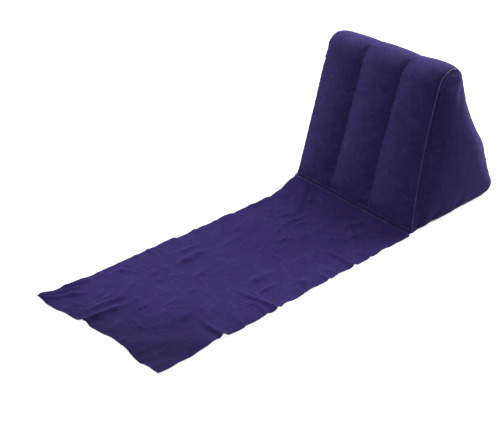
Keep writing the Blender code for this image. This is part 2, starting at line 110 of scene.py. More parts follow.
def colour(name, description, default):
    return FloatVectorProperty(
        name=name, description=description, default=default, subtype="COLOR", min=0, max=1
    )


class WedgeSizes(bpy.types.PropertyGroup):
    """The blown-up wedge, to its welded seams"""

    base_width: metres("Base width", "Between the side seams at the floor", 0.450)
    ridge_width: metres("Ridge width", "Between the side seams at the top", 0.404)
    crease_tilt: metres("Crease tilt", "How far the webs lean to the right, foot to top", 0.0225)
    crease_pivot: share("Crease pivot", "How far up the creases stay in the middle", 0.35)
    waist: metres("Waist", "How far each side seam pulls in half way up", 0.0068)
    lean: metres("Lean", "How far the top sits to the right of the base", -0.0028)
    depth: metres("Depth", "From the foot of the front to the rear", 0.3865)
    height: metres("Height", "From the floor to the top seam", 0.455)
    seam_height: metres("Seam height", "From the floor to the lowest seam", 0.020)
    ridge_place: metres("Ridge place", "From the foot to the ridge's centre", 0.140)
    ridge_radius: metres("Ridge radius", "How round the seam is over the top", 0.054)
    corner_radius: metres("Corner radius", "How round the lower rear corner is", 0.028)
    front_bow: metres("Front bow", "How far the front seam bows out", 0.005)
    back_dip: metres("Back dip", "How far the back seam waves in and out", 0.0135)
    front_crown: metres("Front crown", "Swell of the front's channels", 0.0165)
    front_round: metres("Front rounding", "Swell of the front as a whole", 0.0065)
    ridge_crown: metres("Ridge crown", "Swell over the ridge", 0.0070)
    back_crown: metres("Back crown", "Swell of the back", 0.016)
    corner_crown: metres("Corner crown", "Swell of the lower rear corner", 0.007)
    foot_spread: metres("Foot spread", "How far the side seams turn out at the foot", 0.0012)
    base_sag: metres("Base sag", "How far the base would swell without the floor", 0.034)
    side_crown: metres("Side crown", "Swell of the end sheets", 0.028)
    roll: metres("Roll", "How much higher the far side lies, over the whole width", 0.021)
    pucker: metres("Pucker depth", "Depth of the small gathers at the seams", 0.0016)
    pucker_reach: metres("Pucker reach", "How far the gathers run in from a seam", 0.016)
    pucker_pitch: metres("Pucker pitch", "Spacing of the gathers along a seam", 0.013)
    ripple: metres("Ripple depth", "Of the side seams' own ripples", 0.0026)
    ripple_reach: metres("Ripple reach", "How far those ripples run in", 0.0090)
    dent: metres("Dent depth", "Of the slight unevenness of the sheets", 0.0016)
    sheet: metres("Sheet thickness", "Vinyl with its flock", 0.0008)


class AirSizes(bpy.types.PropertyGroup):
    """The air that blows the wedge up"""

    pressure: number("Pressure", "Of the air inside", 4.0)
    slack: share("Slack", "How much larger a sheet is cut than its place", 0.010)
    stretch: number("Stretch", "Stiffness of the vinyl", 15.0)
    bend: number("Bend", "Stiffness of the vinyl", 0.5)
    steps: integer("Steps", "Of the simulation", 20)
    reach: metres("Reach", "Furthest a channelled sheet moves", 0.0040)
    end_reach: metres("End reach", "Furthest an end sheet moves", 0.0120)


class MatSizes(bpy.types.PropertyGroup):
    """The sheet that lies in front of the wedge"""

    width: metres("Width", "Across the mat", 0.434)
    length: metres("Length", "From the weld to the front edge", 0.900)
    skew: metres("Skew", "How much longer one side is than the other", 0.048)
    trim: metres("Trim", "How far the front edge curves back", 0.025)
    offset: metres("Offset", "How far the mat sits to the right of the wedge", 0.0072)
    ramp: metres("Ramp", "How far the sheet takes to come down to the ground", 0.150)
    fold: metres("Fold height", "Height of the tallest fold", 0.0122)
    swell: metres("Swell height", "Height of the widest swell", 0.0060)
    wrinkle: metres("Wrinkle height", "Height of the small creases", 0.0039)
    flare: metres("Flare", "How far each side widens to reach the weld", 0.0120)
    rounding: metres("Rounding", "Of the near rear corner", 0.0060)
    corner_lift: metres("Corner lift", "How far the far front corner turns up", 0.0060)
    sheet: metres("Sheet thickness", "Vinyl with its flock", 0.0008)
    seed: integer("Seed", "Places the small creases", 7)


class WeldSizes(bpy.types.PropertyGroup):
    """The welded edges"""

    bead: metres("Bead radius", "Of the weld round an end sheet", 0.0008)
    wander: metres("Wander", "How far a bead strays from its line", 0.0006)
    line: metres("Line radius", "Of the two weld lines along the foot", 0.00042)
    crease: metres("Crease weld radius", "Of the welds of the inner webs", 0.0003)
    band: metres("Band width", "Of the lap welds on the back and base", 0.0080)
    band_rise: metres("Band rise", "How far a lap weld stands proud", 0.0006)
    rib_pitch: metres("Rib pitch", "Spacing of the pressed ribs on a lap weld", 0.0030)
    rib: metres("Rib radius", "Of the pressed ribs on a lap weld", 0.0005)


class ValveSizes(bpy.types.PropertyGroup):
    """The push-in air valve on the back"""

    ring_radius: metres("Ring radius", "Of the ring welded to the sheet", 0.0150)
    ring_thickness: metres("Ring thickness", "Of that ring", 0.0016)
    sleeve_wall: metres("Sleeve wall", "Of the sleeve under the ring", 0.0010)
    sleeve_depth: metres("Sleeve depth", "Of the sleeve under the ring", 0.0060)
    stem_radius: metres("Stem radius", "Outside of the stem", 0.0060)
    bore_radius: metres("Bore radius", "Inside of the stem", 0.0040)
    stem_depth: metres("Stem depth", "Of the stem below the sheet", 0.0180)
    collar_radius: metres("Collar radius", "Of the stem's collar", 0.0105)
    collar_thickness: metres("Collar thickness", "Of the stem's collar", 0.0012)
    cap_radius: metres("Cap radius", "Of the plug's cap", 0.0070)
    cap_thickness: metres("Cap thickness", "Of the plug's cap", 0.0016)
    plug_length: metres("Plug length", "Of the plug inside the stem", 0.0050)
    plug_taper: metres("Plug taper", "How much thinner the plug's end is", 0.0012)
    tether_width: metres("Tether width", "Of the strap that holds the plug", 0.0040)
    tether_thickness: metres("Tether thickness", "Of that strap", 0.0008)
    play: metres("Play", "Between pieces that slide or turn", 0.0004)
    gap: metres("Gap", "Between pieces that rest on each other", 0.0003)
    grips: integer("Grips", "Ribs round the plug's cap", 28)
    grip: metres("Grip radius", "Of a rib on the cap's rim", 0.0003)
    edge: metres("Edge radius", "How round the moulded edges are", 0.0003)


class Finishes(bpy.types.PropertyGroup):
    """Colours of the finishes"""

    flock: colour("Flock", "The flocked vinyl", (0.0400, 0.0295, 0.125))
    mat: colour("Mat", "The mat's flocked vinyl", (0.0430, 0.0266, 0.156))
    flock_lit: colour("Brushed flock", "Where the nap is brushed up", (0.0600, 0.0425, 0.195))
    sheen: colour("Sheen", "Of the nap seen edge on", (0.30, 0.22, 0.90))
    plain: colour("Plain vinyl", "The bare underside", (0.030, 0.023, 0.098))
    weld: colour("Weld", "The pressed vinyl of the seams", (0.066, 0.048, 0.165))
    # The pale weld colour serves both the weld's whitened streaks and its painted highlight on top
    weld_pale: colour("Pale weld", "Where a seam is stressed white", (0.370, 0.300, 0.600))
    valve: colour("Valve", "The valve's soft vinyl", (0.050, 0.040, 0.160))
    web: colour("Web", "The inner webs", (0.060, 0.050, 0.160))
    floor: colour("Floor", "The studio floor", (0.50, 0.50, 0.50))


class StageSizes(bpy.types.PropertyGroup):
    """The camera and the lamps"""

    azimuth: degrees("Azimuth", "Of the camera: 0 looks along +Y, 90 along -X", 47.914)
    elevation: degrees("Elevation", "Of the camera above the floor", 29.58)
    distance: metres("Distance", "From the camera to its aim", 2.3882)
    aim_across: metres("Aim across", "Of the camera's aim, from the middle", -0.1576)
    aim_along: metres("Aim along", "Of the camera's aim, from the wedge's foot", -0.2627)
    focal_pixels: number("Focal length", "In pixels of the photograph", 817.95)
    rear_power: watts("Low rear power", "Of the lamp", 62.0)
    top_power: watts("High rear power", "Of the lamp", 46.5)
    front_power: watts("Front power", "Of the lamp", 40.0)
    ambient: share("Ambient", "Strength of the even light", 0.12)
    floor_size: metres("Floor size", "Width of the floor", 24.0)


SETTINGS = {
    "wedge_sizes": WedgeSizes,
    "air_sizes": AirSizes,
    "mat_sizes": MatSizes,
    "weld_sizes": WeldSizes,
    "valve_sizes": ValveSizes,
    "finishes": Finishes,
    "stage_sizes": StageSizes,
}

# The outline of the back as (share of the way down, share of the dip), outwards positive
BACK_SHAPE_SHARES = (
    (0.00, 0.00), (0.14, -0.42), (0.28, -0.66), (0.40, -0.42), (0.50, 0.10),
    (0.60, 0.82), (0.69, 0.92), (0.84, 0.24), (1.00, 0.00),
)
RIDGE_REAR_ANGLE = math.radians(22)
CORNER_REAR_ANGLE = math.radians(20)

# Where the channels are fully separate (1) or merge (0), by station
CHANNEL_SHARES = (
    (0.05, 0.0), (0.16, 1.0), (1.10, 1.0), (1.50, 0.34),
    (1.80, 0.34), (2.12, 1.0), (2.80, 1.0), (3.20, 0.0),
)
CHANNELS = 3
# The channel share from which on an inner web holds the sheets
WEB_HOLDS = 0.6
# How much more the right web leans than the middle of the wedge, and the left one less
NEAR_WEB_SHARE = 0.45
# How much less the top rolls than the foot
ROLL_EASE = 0.2

# How round the front is across all its channels, by station
FRONT_ROUND_SHARES = ((0.00, 0.0), (0.20, 1.0), (0.90, 1.0), (1.35, 0.0))
# How flat the sheets are between the side seams, as a power
CROWN_FLATNESS = 14
# How far from the foot the side seams' spread there ends
FOOT_SPREAD_REACH = 0.022
# An end sheet's swell: powers that move its peak back and down, and one that rounds it
END_PEAK_BACK = 1.05
END_PEAK_DOWN = 0.85
END_ROUNDNESS = 0.9

# How strong the ripples of the left (-1) and the right (1) side seam are, by station
RIPPLE_SHARES = {
    -1: (
        (0.0, 0.3), (0.8, 0.3), (1.0, 1.6), (1.6, 1.6),
        (2.1, 0.4), (3.9, 1.2), (4.9, 1.2), (5.0, 0.3),
    ),
    1: (
        (0.0, 0.1), (0.8, 0.1), (1.1, 0.2), (1.6, 0.3),
        (2.1, 0.3), (3.6, 1.5), (4.9, 1.5), (5.0, 0.3),
    ),
}
WORDS = {-1: "left", 1: "right"}

# The gathers at each weld: their seed, and shares of a gather's depth and of its pitch
GATHERS = {
    "left seam": (21.0, 1.6, 1.0),
    "right seam": (33.0, 1.6, 1.0),
    "foot": (47.0, 1.4, 1.0),
    "creases": (55.0, 0.7, 1.6),
    "left end": (69.0, 1.6, 1.0),
    "right end": (71.0, 1.6, 1.0),
    "left ripple": (89.0, 0.7, 1.1),
    "right ripple": (91.0, 0.7, 1.1),
}
# How narrow a gather is, how strong they are, how much that varies, and how slowly
GATHER_SHARPNESS = 3.2
GATHER_STRENGTH = 0.45
GATHER_SPREAD = 1.3
GATHER_DRIFT = 0.21
# The share of its reach over which a gather deepens, away from its weld
PUCKER_RISE = 0.15

# The sheets' slight unevenness, as layers of noise: the pitch, the seed and the height
WEDGE_DENTS = ((0.11, 3.0, 1.0), (0.045, 5.0, 0.4))
END_DENTS = {-1: (0.10, 10.0, 1.0), 1: (0.10, 12.0, 1.0)}
FOOT_WAVES = (0.060, 61.0, 0.0016)
# How far from a weld the dents reach their full depth, and how evenly they end at a seam
DENT_FADE = 0.05
DENT_EVENNESS = 8

# How finely the sheets are divided, and the rows where one sheet is welded to the next
FRONT_ROWS = 132
RIDGE_ROWS = 48
BACK_ROWS = 112
CORNER_ROWS = 40
BASE_ROWS = 28
CHANNEL_COLUMNS = 36
RIDGE_WELD_ROW = FRONT_ROWS + RIDGE_ROWS + 11
REAR_WELD_ROW = FRONT_ROWS + RIDGE_ROWS + BACK_ROWS + 18
FOOT_LINE_ROW = 3
FOOT_COLUMNS = 160
FOOT_ROWS = 12
MAT_COLUMNS = 148
MAT_ROWS = 306
LINE_STEPS = 400
# Powers over 1 that crowd the rows towards a weld, and how far the columns crowd there
FRONT_CROWDING = 1.1
BASE_CROWDING = 1.2
MAT_CROWDING = 1.05
COLUMN_CROWDING = 0.75

# The stations between which the inner webs' welds show, and the steps of the weld beads
WEB_WELD_STATIONS = (0.92, 1.85)
SEAM_STEP = 0.0035
LINE_STEP = 0.003
# Across a lap weld: shares of its width and of its rise, and how much of it the ribs cross
LAP_PROFILE = ((-0.5, 0.0), (-0.42, 0.8), (-0.3, 1.0), (0.3, 1.0), (0.42, 0.8), (0.5, 0.0))
RIB_SPAN = 0.62

# Edges sharper than this are shaded as edges, on the wedge and on the mat
SHARP_EDGE = math.radians(50)
SHARP_FOLD = math.radians(70)
# How the valve's pieces are turned, the angle from which on an edge is rounded, and how close
# their points on the axis are when they become one
VALVE_SIDES = 72
ROUNDED_EDGE = math.radians(40)
AXIS_MERGE = 0.00001
# How far round the valve the sheet lies flat, and how far from there it stays level
VALVE_PAD_RADIUS = 0.034
VALVE_PAD_EDGE = 0.036

# The mat's folds: a line in shares of half the width and of the length, the share of the
# fold height, the fold's half width in metres, and how much wider its left side is
MAT_FOLD_SHARES = (
    (((-0.27, 1.02), (-0.235, 0.950), (-0.20, 0.872), (-0.15, 0.800)), 0.72, 0.0058, 1.9),
    (((-0.41, 0.970), (-0.37, 0.896), (-0.34, 0.851), (-0.19, 0.797)), 0.59, 0.0077, 1.5),
    (((1.03, 0.755), (0.94, 0.753), (0.70, 0.753), (0.52, 0.718)), 0.80, 0.0090, 0.62),
    (((1.03, 0.566), (0.83, 0.571), (0.57, 0.584), (0.30, 0.583)), 0.60, 0.0085, 0.55),
    (((1.03, 0.601), (0.84, 0.592), (0.66, 0.590)), 0.30, 0.0055, 0.8),
    (((0.67, 0.583), (0.64, 0.544), (0.64, 0.495), (0.61, 0.430)), 0.48, 0.0072, 0.8),
    (((1.03, 0.247), (0.76, 0.251), (0.60, 0.254), (0.42, 0.310)), 0.56, 0.0085, 0.55),
    (((1.03, 0.178), (0.83, 0.187), (0.75, 0.206)), 0.32, 0.0065, 0.7),
    (((1.03, 0.355), (0.88, 0.356), (0.76, 0.354)), 0.36, 0.0065, 0.7),
    (((1.03, 0.675), (0.93, 0.676), (0.84, 0.682)), 0.20, 0.0065, 0.8),
    (((1.03, 0.455), (0.92, 0.458), (0.80, 0.470)), 0.16, 0.0070, 0.8),
    (((-0.97, 1.01), (-0.945, 0.900), (-0.90, 0.842), (-0.83, 0.795)), 0.44, 0.0060, 1.5),
    (((-0.94, 1.01), (-0.88, 0.915), (-0.84, 0.870)), 0.34, 0.0055, 1.2),
    (((-0.90, 1.01), (-0.80, 0.950), (-0.66, 0.890)), 0.34, 0.0060, 1.2),
    (((-1.03, 0.830), (-0.92, 0.822), (-0.84, 0.815)), 0.16, 0.0070, 1.0),
    (((-1.03, 0.649), (-0.91, 0.646), (-0.78, 0.645)), 0.36, 0.0065, 1.5),
    (((-1.03, 0.697), (-0.96, 0.692), (-0.86, 0.690)), 0.22, 0.0065, 1.2),
    (((-1.03, 0.470), (-0.90, 0.468), (-0.74, 0.470)), 0.32, 0.0065, 1.2),
    (((-1.03, 0.545), (-0.92, 0.546), (-0.82, 0.560)), 0.20, 0.0065, 1.2),
    (((-1.03, 0.384), (-0.92, 0.380), (-0.80, 0.376)), 0.22, 0.0065, 1.2),
    (((-0.90, 0.795), (-0.75, 0.757), (-0.58, 0.738)), 0.50, 0.0099, 1.0),
    (((0.20, 1.010), (0.43, 0.938), (0.68, 0.872), (1.03, 0.800)), 0.45, 0.0480, 0.60),
    (((-0.69, 0.610), (-0.65, 0.540), (-0.65, 0.480)), 0.48, 0.0072, 1.3),
    (((-0.45, 0.650), (-0.45, 0.595), (-0.42, 0.520)), 0.53, 0.0077, 1.6),
    (((-0.50, 0.590), (-0.48, 0.540), (-0.42, 0.490)), 0.36, 0.0066, 1.3),
    (((-0.12, 0.655), (-0.12, 0.612), (-0.23, 0.560)), 0.36, 0.0072, 1.2),
    (((-0.32, 0.485), (-0.47, 0.413), (-0.46, 0.380)), 0.34, 0.0083, 1.2),
    (((0.46, 0.530), (0.43, 0.463), (0.43, 0.410)), 0.36, 0.0072, 1.2),
    (((-0.11, 0.345), (0.01, 0.289), (0.06, 0.235)), 0.39, 0.0072, 1.3),
    (((0.31, 0.178), (0.49, 0.164), (0.60, 0.135)), 0.48, 0.0066, 0.8),
    (((0.22, 0.112), (0.31, 0.070), (0.44, 0.020)), 0.50, 0.0057, 1.3),
    (((0.25, 0.138), (0.32, 0.100), (0.44, 0.056)), 0.39, 0.0055, 1.3),
    (((0.49, 0.155), (0.54, 0.104), (0.57, 0.062)), 0.42, 0.0057, 1.3),
    (((-0.31, 0.224), (-0.27, 0.176), (-0.19, 0.142)), 0.42, 0.0064, 1.3),
    (((-0.21, 0.226), (-0.15, 0.182), (-0.10, 0.148)), 0.36, 0.0060, 1.3),
    (((-0.88, -0.03), (-0.71, 0.035), (-0.54, 0.105), (-0.38, 0.195)), 0.85, 0.0220, 0.60),
)
# The mat's wide swells: across, along, reach across, reach along, share of the swell height
MAT_SWELL_SHARES = (
    (0.30, 0.84, 0.42, 0.09, 1.00),
    (-0.55, 0.62, 0.34, 0.12, 0.45),
    (0.10, 0.52, 0.46, 0.08, 0.40),
    (-0.35, 0.30, 0.40, 0.10, 0.40),
    (0.62, 0.40, 0.30, 0.07, 0.35),
)
# How the front edge curves back, from the far corner to the near one
FRONT_EDGE_SHARES = (
    (-1.00, 0.20), (-0.72, 0.30), (-0.28, 0.62), (-0.21, 1.00), (-0.12, 0.84),
    (0.20, 0.92), (0.40, 0.68), (0.75, 0.34), (1.00, 0.26),
)
# Where the far (-1) and the near (1) edge bulge out: the place and the reach in shares of the
# length, and how far
EDGE_BULGES = {
    -1: ((0.90, 0.07, -0.0065),),
    1: ((1.00, 0.09, 0.0075), (0.90, 0.12, 0.0030), (0.583, 0.023, 0.0090)),
}
BULGE_POWER = 6
# How far the far edge is trimmed in, and the shares of the length over which that begins
FAR_TRIM = 0.0022
FAR_TRIM_START = 0.10
# How far from the weld the far and the near side flare, and the near corner is rounded
FAR_FLARE_REACH = 0.080
FAR_FLARE_POWER = 4
NEAR_FLARE_REACH = 0.050
ROUNDING_REACH = 0.003

# How much of the ramp's length each part of the mat takes, from the far side to the near one
RAMP_SHARES = ((-1.00, 0.86), (-0.45, 0.46), (0.40, 0.20), (1.00, 0.22))
RAMP_CURVE = 1.25
# Where on the ramp the folds start to rise, the share of their height that they have before,
# and how far from the weld they have lifted off it
RAMP_CLEAR = 0.15
FOLDS_ON_RAMP = 0.35
LIFT_OFF = 0.030

# A fold: the steps of its line, the half widths after which it ends, how sharp its crest is,
# and the shares of its length over which it rises and falls
FOLD_STEPS = 28
FOLD_CUTOFF = 3
FOLD_SHARPNESS = 1.7
FOLD_RISE = 0.4
FOLD_FALL = 0.7
# How much of a fold's height it pulls the sides in, and the front edge back
FOLD_PULL = 0.10
FRONT_PULL = 0.30

# The small creases: where they lie, their headings in the middle of the mat and near its
# edges, where those begin, and the ranges of their half lengths, widths, bends and strengths
SMALL_CREASES = 120
CREASE_ACROSS = (-0.95, 0.95)
CREASE_ALONG = (0.04, 0.97)
CREASE_HEADINGS = (112, 112, 155)
EDGE_HEADING = 8
HEADING_SPREAD = math.radians(20)
EDGE_STARTS = 0.66
CREASE_REACH = (0.014, 0.052)
CREASE_WIDTH = (0.0038, 0.0085)
CREASE_BEND = (-0.25, 0.25)
CREASE_STRENGTH = (0.35, 1.0)
CREASE_LEAN = (1.0, 1.6)

# The mat's other unevenness, as layers of noise: the pitch, the seed and the height
FINE_CREASES = (0.030, 17.0, 2.2)
FINE_PATCHES = (0.16, 23.0, 1.8)
FINE_SHARE = 0.25
RIM_WAVES = (0.060, 31.0, 2.0)
RIM_BIAS = 0.2
RIM_LIFT = 1.4
SIDE_WAVES = ((0.085, 41.0, 0.0030), (0.030, 43.0, 0.0016))
FRONT_WAVES = (0.085, 47.0, 0.0030)
# How narrow a rim is: where it lifts at the sides and the front, and where its edge strays
SIDE_RIM_POWER = 10
FRONT_RIM_POWER = 14
SIDE_STRAY_POWER = 8
FRONT_STRAY_POWER = 20
CORNER_LIFT_REACH = 0.026

# The lamps, and how far they stand from the camera's aim
LAMP_SIZE = 1.6
LAMP_DISTANCE = 3.0


# Shapes: easing, noise and the wedge's seam line


def eased(place):
    """A smooth rise from 0 to 1 over the places from 0 to 1."""
    place = np.clip(place, 0.0, 1.0)
    return place * place * (3 - 2 * place)


def read_table(table, place):
    """The values at some places, eased between the rows of a table."""
    value = np.full(np.shape(place), float(table[0][1]))
    for (low, start), (high, end) in zip(table, table[1:]):
        step = start + (end - start) * eased((place - low) / (high - low))
        value = np.where(place > low, step, value)
    return value


def through(points, place):
    """A smooth line through (share, value) points, with the slope of each one's neighbours."""
    for i in range(len(points) - 1):
        if place <= points[i + 1][0] or i == len(points) - 2:
            break
    (x0, y0), (x1, y1) = points[i], points[i + 1]
    before = points[max(i - 1, 0)]
    after = points[min(i + 2, len(points) - 1)]
    span = x1 - x0
    slope0 = (y1 - before[1]) / (x1 - before[0]) * span
    slope1 = (after[1] - y0) / (after[0] - x0) * span
    t = (place - x0) / span
    return (
        (2 * t**3 - 3 * t**2 + 1) * y0
        + (t**3 - 2 * t**2 + t) * slope0
        + (3 * t**2 - 2 * t**3) * y1
        + (t**3 - t**2) * slope1
    )


def rough(points, *layers):
    """Smooth noise at each point of a grid, as a sum of layers of (pitch, seed, height)."""
    total = 0
    for pitch, seed, height in layers:
        flat = (points.reshape(-1, 3) / pitch).tolist()
        values = [noise.noise((x + seed, y - seed, z)) for x, y, z in flat]
        total = total + height * np.array(values).reshape(points.shape[:-1])
    return total


def gathers(sizes, weld, along):
    """A row of narrow valleys along a weld, uneven in depth and in spacing."""
    seed, depth, pitch = GATHERS[weld]
    valleys = []
    for place in (along / (sizes.pucker_pitch * pitch)).ravel().tolist():
        valley = 1 - min(abs(noise.noise((place, seed, 0.0))) * GATHER_SHARPNESS, 1.0)
        strength = noise.noise((place * GATHER_DRIFT, seed, 9.0))
        strength = GATHER_STRENGTH + GATHER_SPREAD * strength
        valleys.append(valley * min(max(strength, 0.0), 1.0))
    return depth * np.array(valleys).reshape(along.shape)


def pucker_fade(sizes, distance):
    """How deep a gather is at a distance from its weld."""
    rise = 1 - np.exp(-distance / (sizes.pucker_reach * PUCKER_RISE))
    return rise * np.exp(-distance / sizes.pucker_reach)


def on_circle(centre, radius, angle):
    return centre + radius * Vector((math.cos(angle), math.sin(angle)))


class SeamLine:
    """The wedge's closed seam line, with its place and outward direction by station."""

    def __init__(self, sizes):
        self.sizes = sizes
        self.foot = Vector((FOOT_Y, sizes.seam_height))
        self.ridge = Vector((FOOT_Y + sizes.ridge_place, sizes.height - sizes.ridge_radius))
        self.corner = self.foot + Vector((sizes.depth - sizes.corner_radius, sizes.corner_radius))
        down = self.foot - self.ridge
        reach = math.acos(sizes.ridge_radius / down.length)
        self.front_angle = math.atan2(down.y, down.x) % math.tau - reach
        self.stations = np.linspace(0, 5, 5 * LINE_STEPS + 1)
        points = np.array([self.point(station) for station in self.stations])
        along = np.gradient(points, axis=0)
        along[-1] = points[-1] - points[-2]
        along /= np.linalg.norm(along, axis=1)[:, None]
        self.y, self.z = points.T
        self.out_y, self.out_z = -along[:, 1], along[:, 0]
        steps = np.linalg.norm(np.diff(points, axis=0), axis=1)
        self.travelled = np.concatenate([[0.0], np.cumsum(steps)])

    def point(self, station):
        """The seam's place (y, z) at a station."""
        sizes = self.sizes
        part = min(int(station), 4)
        place = station - part
        if part == 0:
            line = on_circle(self.ridge, sizes.ridge_radius, self.front_angle) - self.foot
            out = Vector((-line.y, line.x)).normalized()
            return self.foot + line * place + out * sizes.front_bow * math.sin(math.pi * place)
        if part == 1:
            angle = self.front_angle + (RIDGE_REAR_ANGLE - self.front_angle) * place
            return on_circle(self.ridge, sizes.ridge_radius, angle)
        if part == 2:
            top = on_circle(self.ridge, sizes.ridge_radius, RIDGE_REAR_ANGLE)
            line = on_circle(self.corner, sizes.corner_radius, CORNER_REAR_ANGLE) - top
            out = Vector((-line.y, line.x)).normalized()
            return top + line * place + out * sizes.back_dip * through(BACK_SHAPE_SHARES, place)
        if part == 3:
            angle = CORNER_REAR_ANGLE - (math.pi / 2 + CORNER_REAR_ANGLE) * place
            return on_circle(self.corner, sizes.corner_radius, angle)
        return Vector((self.corner.x + (FOOT_Y - self.corner.x) * place, sizes.seam_height))

    def at(self, values, station):
        return np.interp(station, self.stations, values)


# Shapes: the wedge's sheets


def up_share(sizes, z):
    """How far up the wedge's seams a height is."""
    return (z - sizes.seam_height) / (sizes.height - sizes.seam_height)


def crease_shift(sizes, across, up):
    """How far the leaning inner webs carry a point of the sheets to the right."""
    strength = (1 - across**2) * (1 + NEAR_WEB_SHARE * across)
    return sizes.crease_tilt * (up - sizes.crease_pivot) * strength


def half_width(sizes, z):
    """Half the distance between the side seams at a height: the sides lean and pull in."""
    up = up_share(sizes, z)
    straight = (sizes.base_width + (sizes.ridge_width - sizes.base_width) * up) / 2
    return straight - sizes.waist * np.sin(math.pi * np.clip(up, 0, 1))


def roll_lift(sizes, x, z):
    """How far the roll of the wedge lifts a point: up on the far side, down on the near one."""
    up = np.clip(up_share(sizes, z), 0, 1)
    return -x / sizes.base_width * sizes.roll * (1 - ROLL_EASE * up)


def crown(across, channels):
    """How much of the swell a point gets, from its share of the half width."""
    whole = 1 - np.abs(across) ** CROWN_FLATNESS
    place = (across + 1) / 2 * CHANNELS
    inside = 2 * (place - np.floor(np.minimum(place, CHANNELS - 1e-9))) - 1
    channel = 1 - np.minimum(np.abs(inside), 1.0) ** 2
    return whole + (channel - whole) * channels


def surface_normals(points):
    """Unit normals of a grid, outwards where its rows run up and its columns to the right."""
    normals = np.cross(np.gradient(points, axis=1), np.gradient(points, axis=0))
    return normals / np.maximum(np.linalg.norm(normals, axis=2), 1e-12)[..., None]


def station_rows():
    """The wedge's stations, row by row, all the way round."""
    front = [(i / FRONT_ROWS) ** FRONT_CROWDING for i in range(FRONT_ROWS)]
    ridge = [1 + i / RIDGE_ROWS for i in range(RIDGE_ROWS)]
    back = [2 + i / BACK_ROWS for i in range(BACK_ROWS)]
    corner = [3 + i / CORNER_ROWS for i in range(CORNER_ROWS)]
    base = [5 - (i / BASE_ROWS) ** BASE_CROWDING for i in range(BASE_ROWS, 0, -1)]
    return np.array(front + ridge + back + corner + base + [5.0])


def column_shares():
    """Places across the wedge, closer together towards the seams and the creases."""
    even = np.linspace(-1, 1, CHANNEL_COLUMNS + 1)
    inside = (1 - COLUMN_CROWDING) * even + COLUMN_CROWDING * np.sin(math.pi / 2 * even)
    middles = (2 * np.arange(CHANNELS) + 1) / CHANNELS - 1
    places = [middle + inside[:-1] / CHANNELS for middle in middles]
    return np.concatenate([*places, [1.0]])


def seam_ripple(sizes, line, points, side):
    """How far the ripples of a side seam move each of its points."""
    stations = station_rows()
    strength = read_table(RIPPLE_SHARES[side], stations)
    depth = gathers(sizes, WORDS[side] + " ripple", line.at(line.travelled, stations))
    inwards = -surface_normals(points)[:, 0 if side < 0 else -1]
    inwards[:, 0] -= side
    ripple = sizes.ripple * (strength * depth)[:, None] * inwards
    ripple[[0, -1]] = 0
    return ripple


def swell_by_station(sizes):
    """How far the wrap swells beyond its seams, by station."""
    return (
        (0.00, 0.0),
        (0.15, sizes.front_crown),
        (0.95, sizes.front_crown),
        (1.50, sizes.ridge_crown),
        (1.75, sizes.ridge_crown),
        (2.30, sizes.back_crown),
        (2.80, sizes.back_crown),
        (3.20, sizes.corner_crown),
        (3.62, sizes.corner_crown),
        (4.25, sizes.base_sag),
        (4.78, sizes.base_sag),
        (5.00, 0.0),
    )


def smooth_wrap(sizes, line, across, station, foot):
    """The wrap without its dents and gathers, from how far each point is from the foot."""
    swell = read_table(swell_by_station(sizes), station)
    swell = swell * crown(across, read_table(CHANNEL_SHARES, station))
    swell = swell + sizes.front_round * read_table(FRONT_ROUND_SHARES, station) * (1 - across**2)
    seam_z = line.at(line.z, station)
    up = up_share(sizes, seam_z)
    spread = sizes.foot_spread * (1 - eased(foot / FOOT_SPREAD_REACH))
    x = across * (half_width(sizes, seam_z) + spread)
    x = x + sizes.lean * up + crease_shift(sizes, across, up)
    y = line.at(line.y, station) + line.at(line.out_y, station) * swell
    z = seam_z + line.at(line.out_z, station) * swell
    return np.stack([x, y, z], axis=-1)


def wrap_points(sizes, valve, line):
    """The front, ridge, back and base as one grid, with a row for each station.

    How far the ripples of the left and the right side seam move them is given as well.
    """
    across, station = np.meshgrid(column_shares(), station_rows())
    travelled = line.at(line.travelled, station)
    foot = np.minimum(travelled, line.travelled[-1] - travelled)
    points = smooth_wrap(sizes, line, across, station, foot)

    half = half_width(sizes, line.at(line.z, station))
    side = (1 - np.abs(across)) * half
    seam_fade = pucker_fade(sizes, side)
    crease_fade = pucker_fade(sizes, np.abs(np.abs(across) - 1 / CHANNELS) * half)
    crease_fade = crease_fade * read_table(CHANNEL_SHARES, station)
    edge_fade = 1 - np.abs(across) ** DENT_EVENNESS
    dents = 2 * rough(points, *WEDGE_DENTS)
    push = sizes.dent * dents * edge_fade * eased(foot / DENT_FADE)
    for weld, along, fade in (
        ("left seam", travelled[:, :1], seam_fade * (across < 0)),
        ("right seam", travelled[:, :1], seam_fade * (across > 0)),
        ("foot", points[:1, :, 0], pucker_fade(sizes, foot)),
        ("creases", travelled[:, :1], crease_fade),
    ):
        push -= sizes.pucker * gathers(sizes, weld, along) * fade
    points += surface_normals(points) * push[..., None]
    points[..., 2] += roll_lift(sizes, points[..., 0], points[..., 2])
    flatten_for_valve(points, valve_seat(valve))

    ripples = {sign: seam_ripple(sizes, line, points, sign) for sign in WORDS}
    fade = np.exp(-side / sizes.ripple_reach)
    for sign, ripple in ripples.items():
        points += ripple[:, None] * (fade * (across * sign > 0))[..., None]
    points[..., 2] = np.maximum(points[..., 2], 0.0)
    return points, ripples


def collar_top(valve):
    """How far the top of the stem's collar stands off the sheet."""
    return 2 * valve.gap + valve.ring_thickness + valve.collar_thickness


def strap_middle(valve):
    """How far the middle of the plug's strap is off the sheet."""
    return collar_top(valve) + valve.gap + valve.tether_thickness / 2


def valve_seat(valve):
    """Where the valve's axis meets the back sheet."""
    return Vector((0, PLUG_HINGE.y, PLUG_HINGE.z)) - VALVE_OUT * strap_middle(valve)


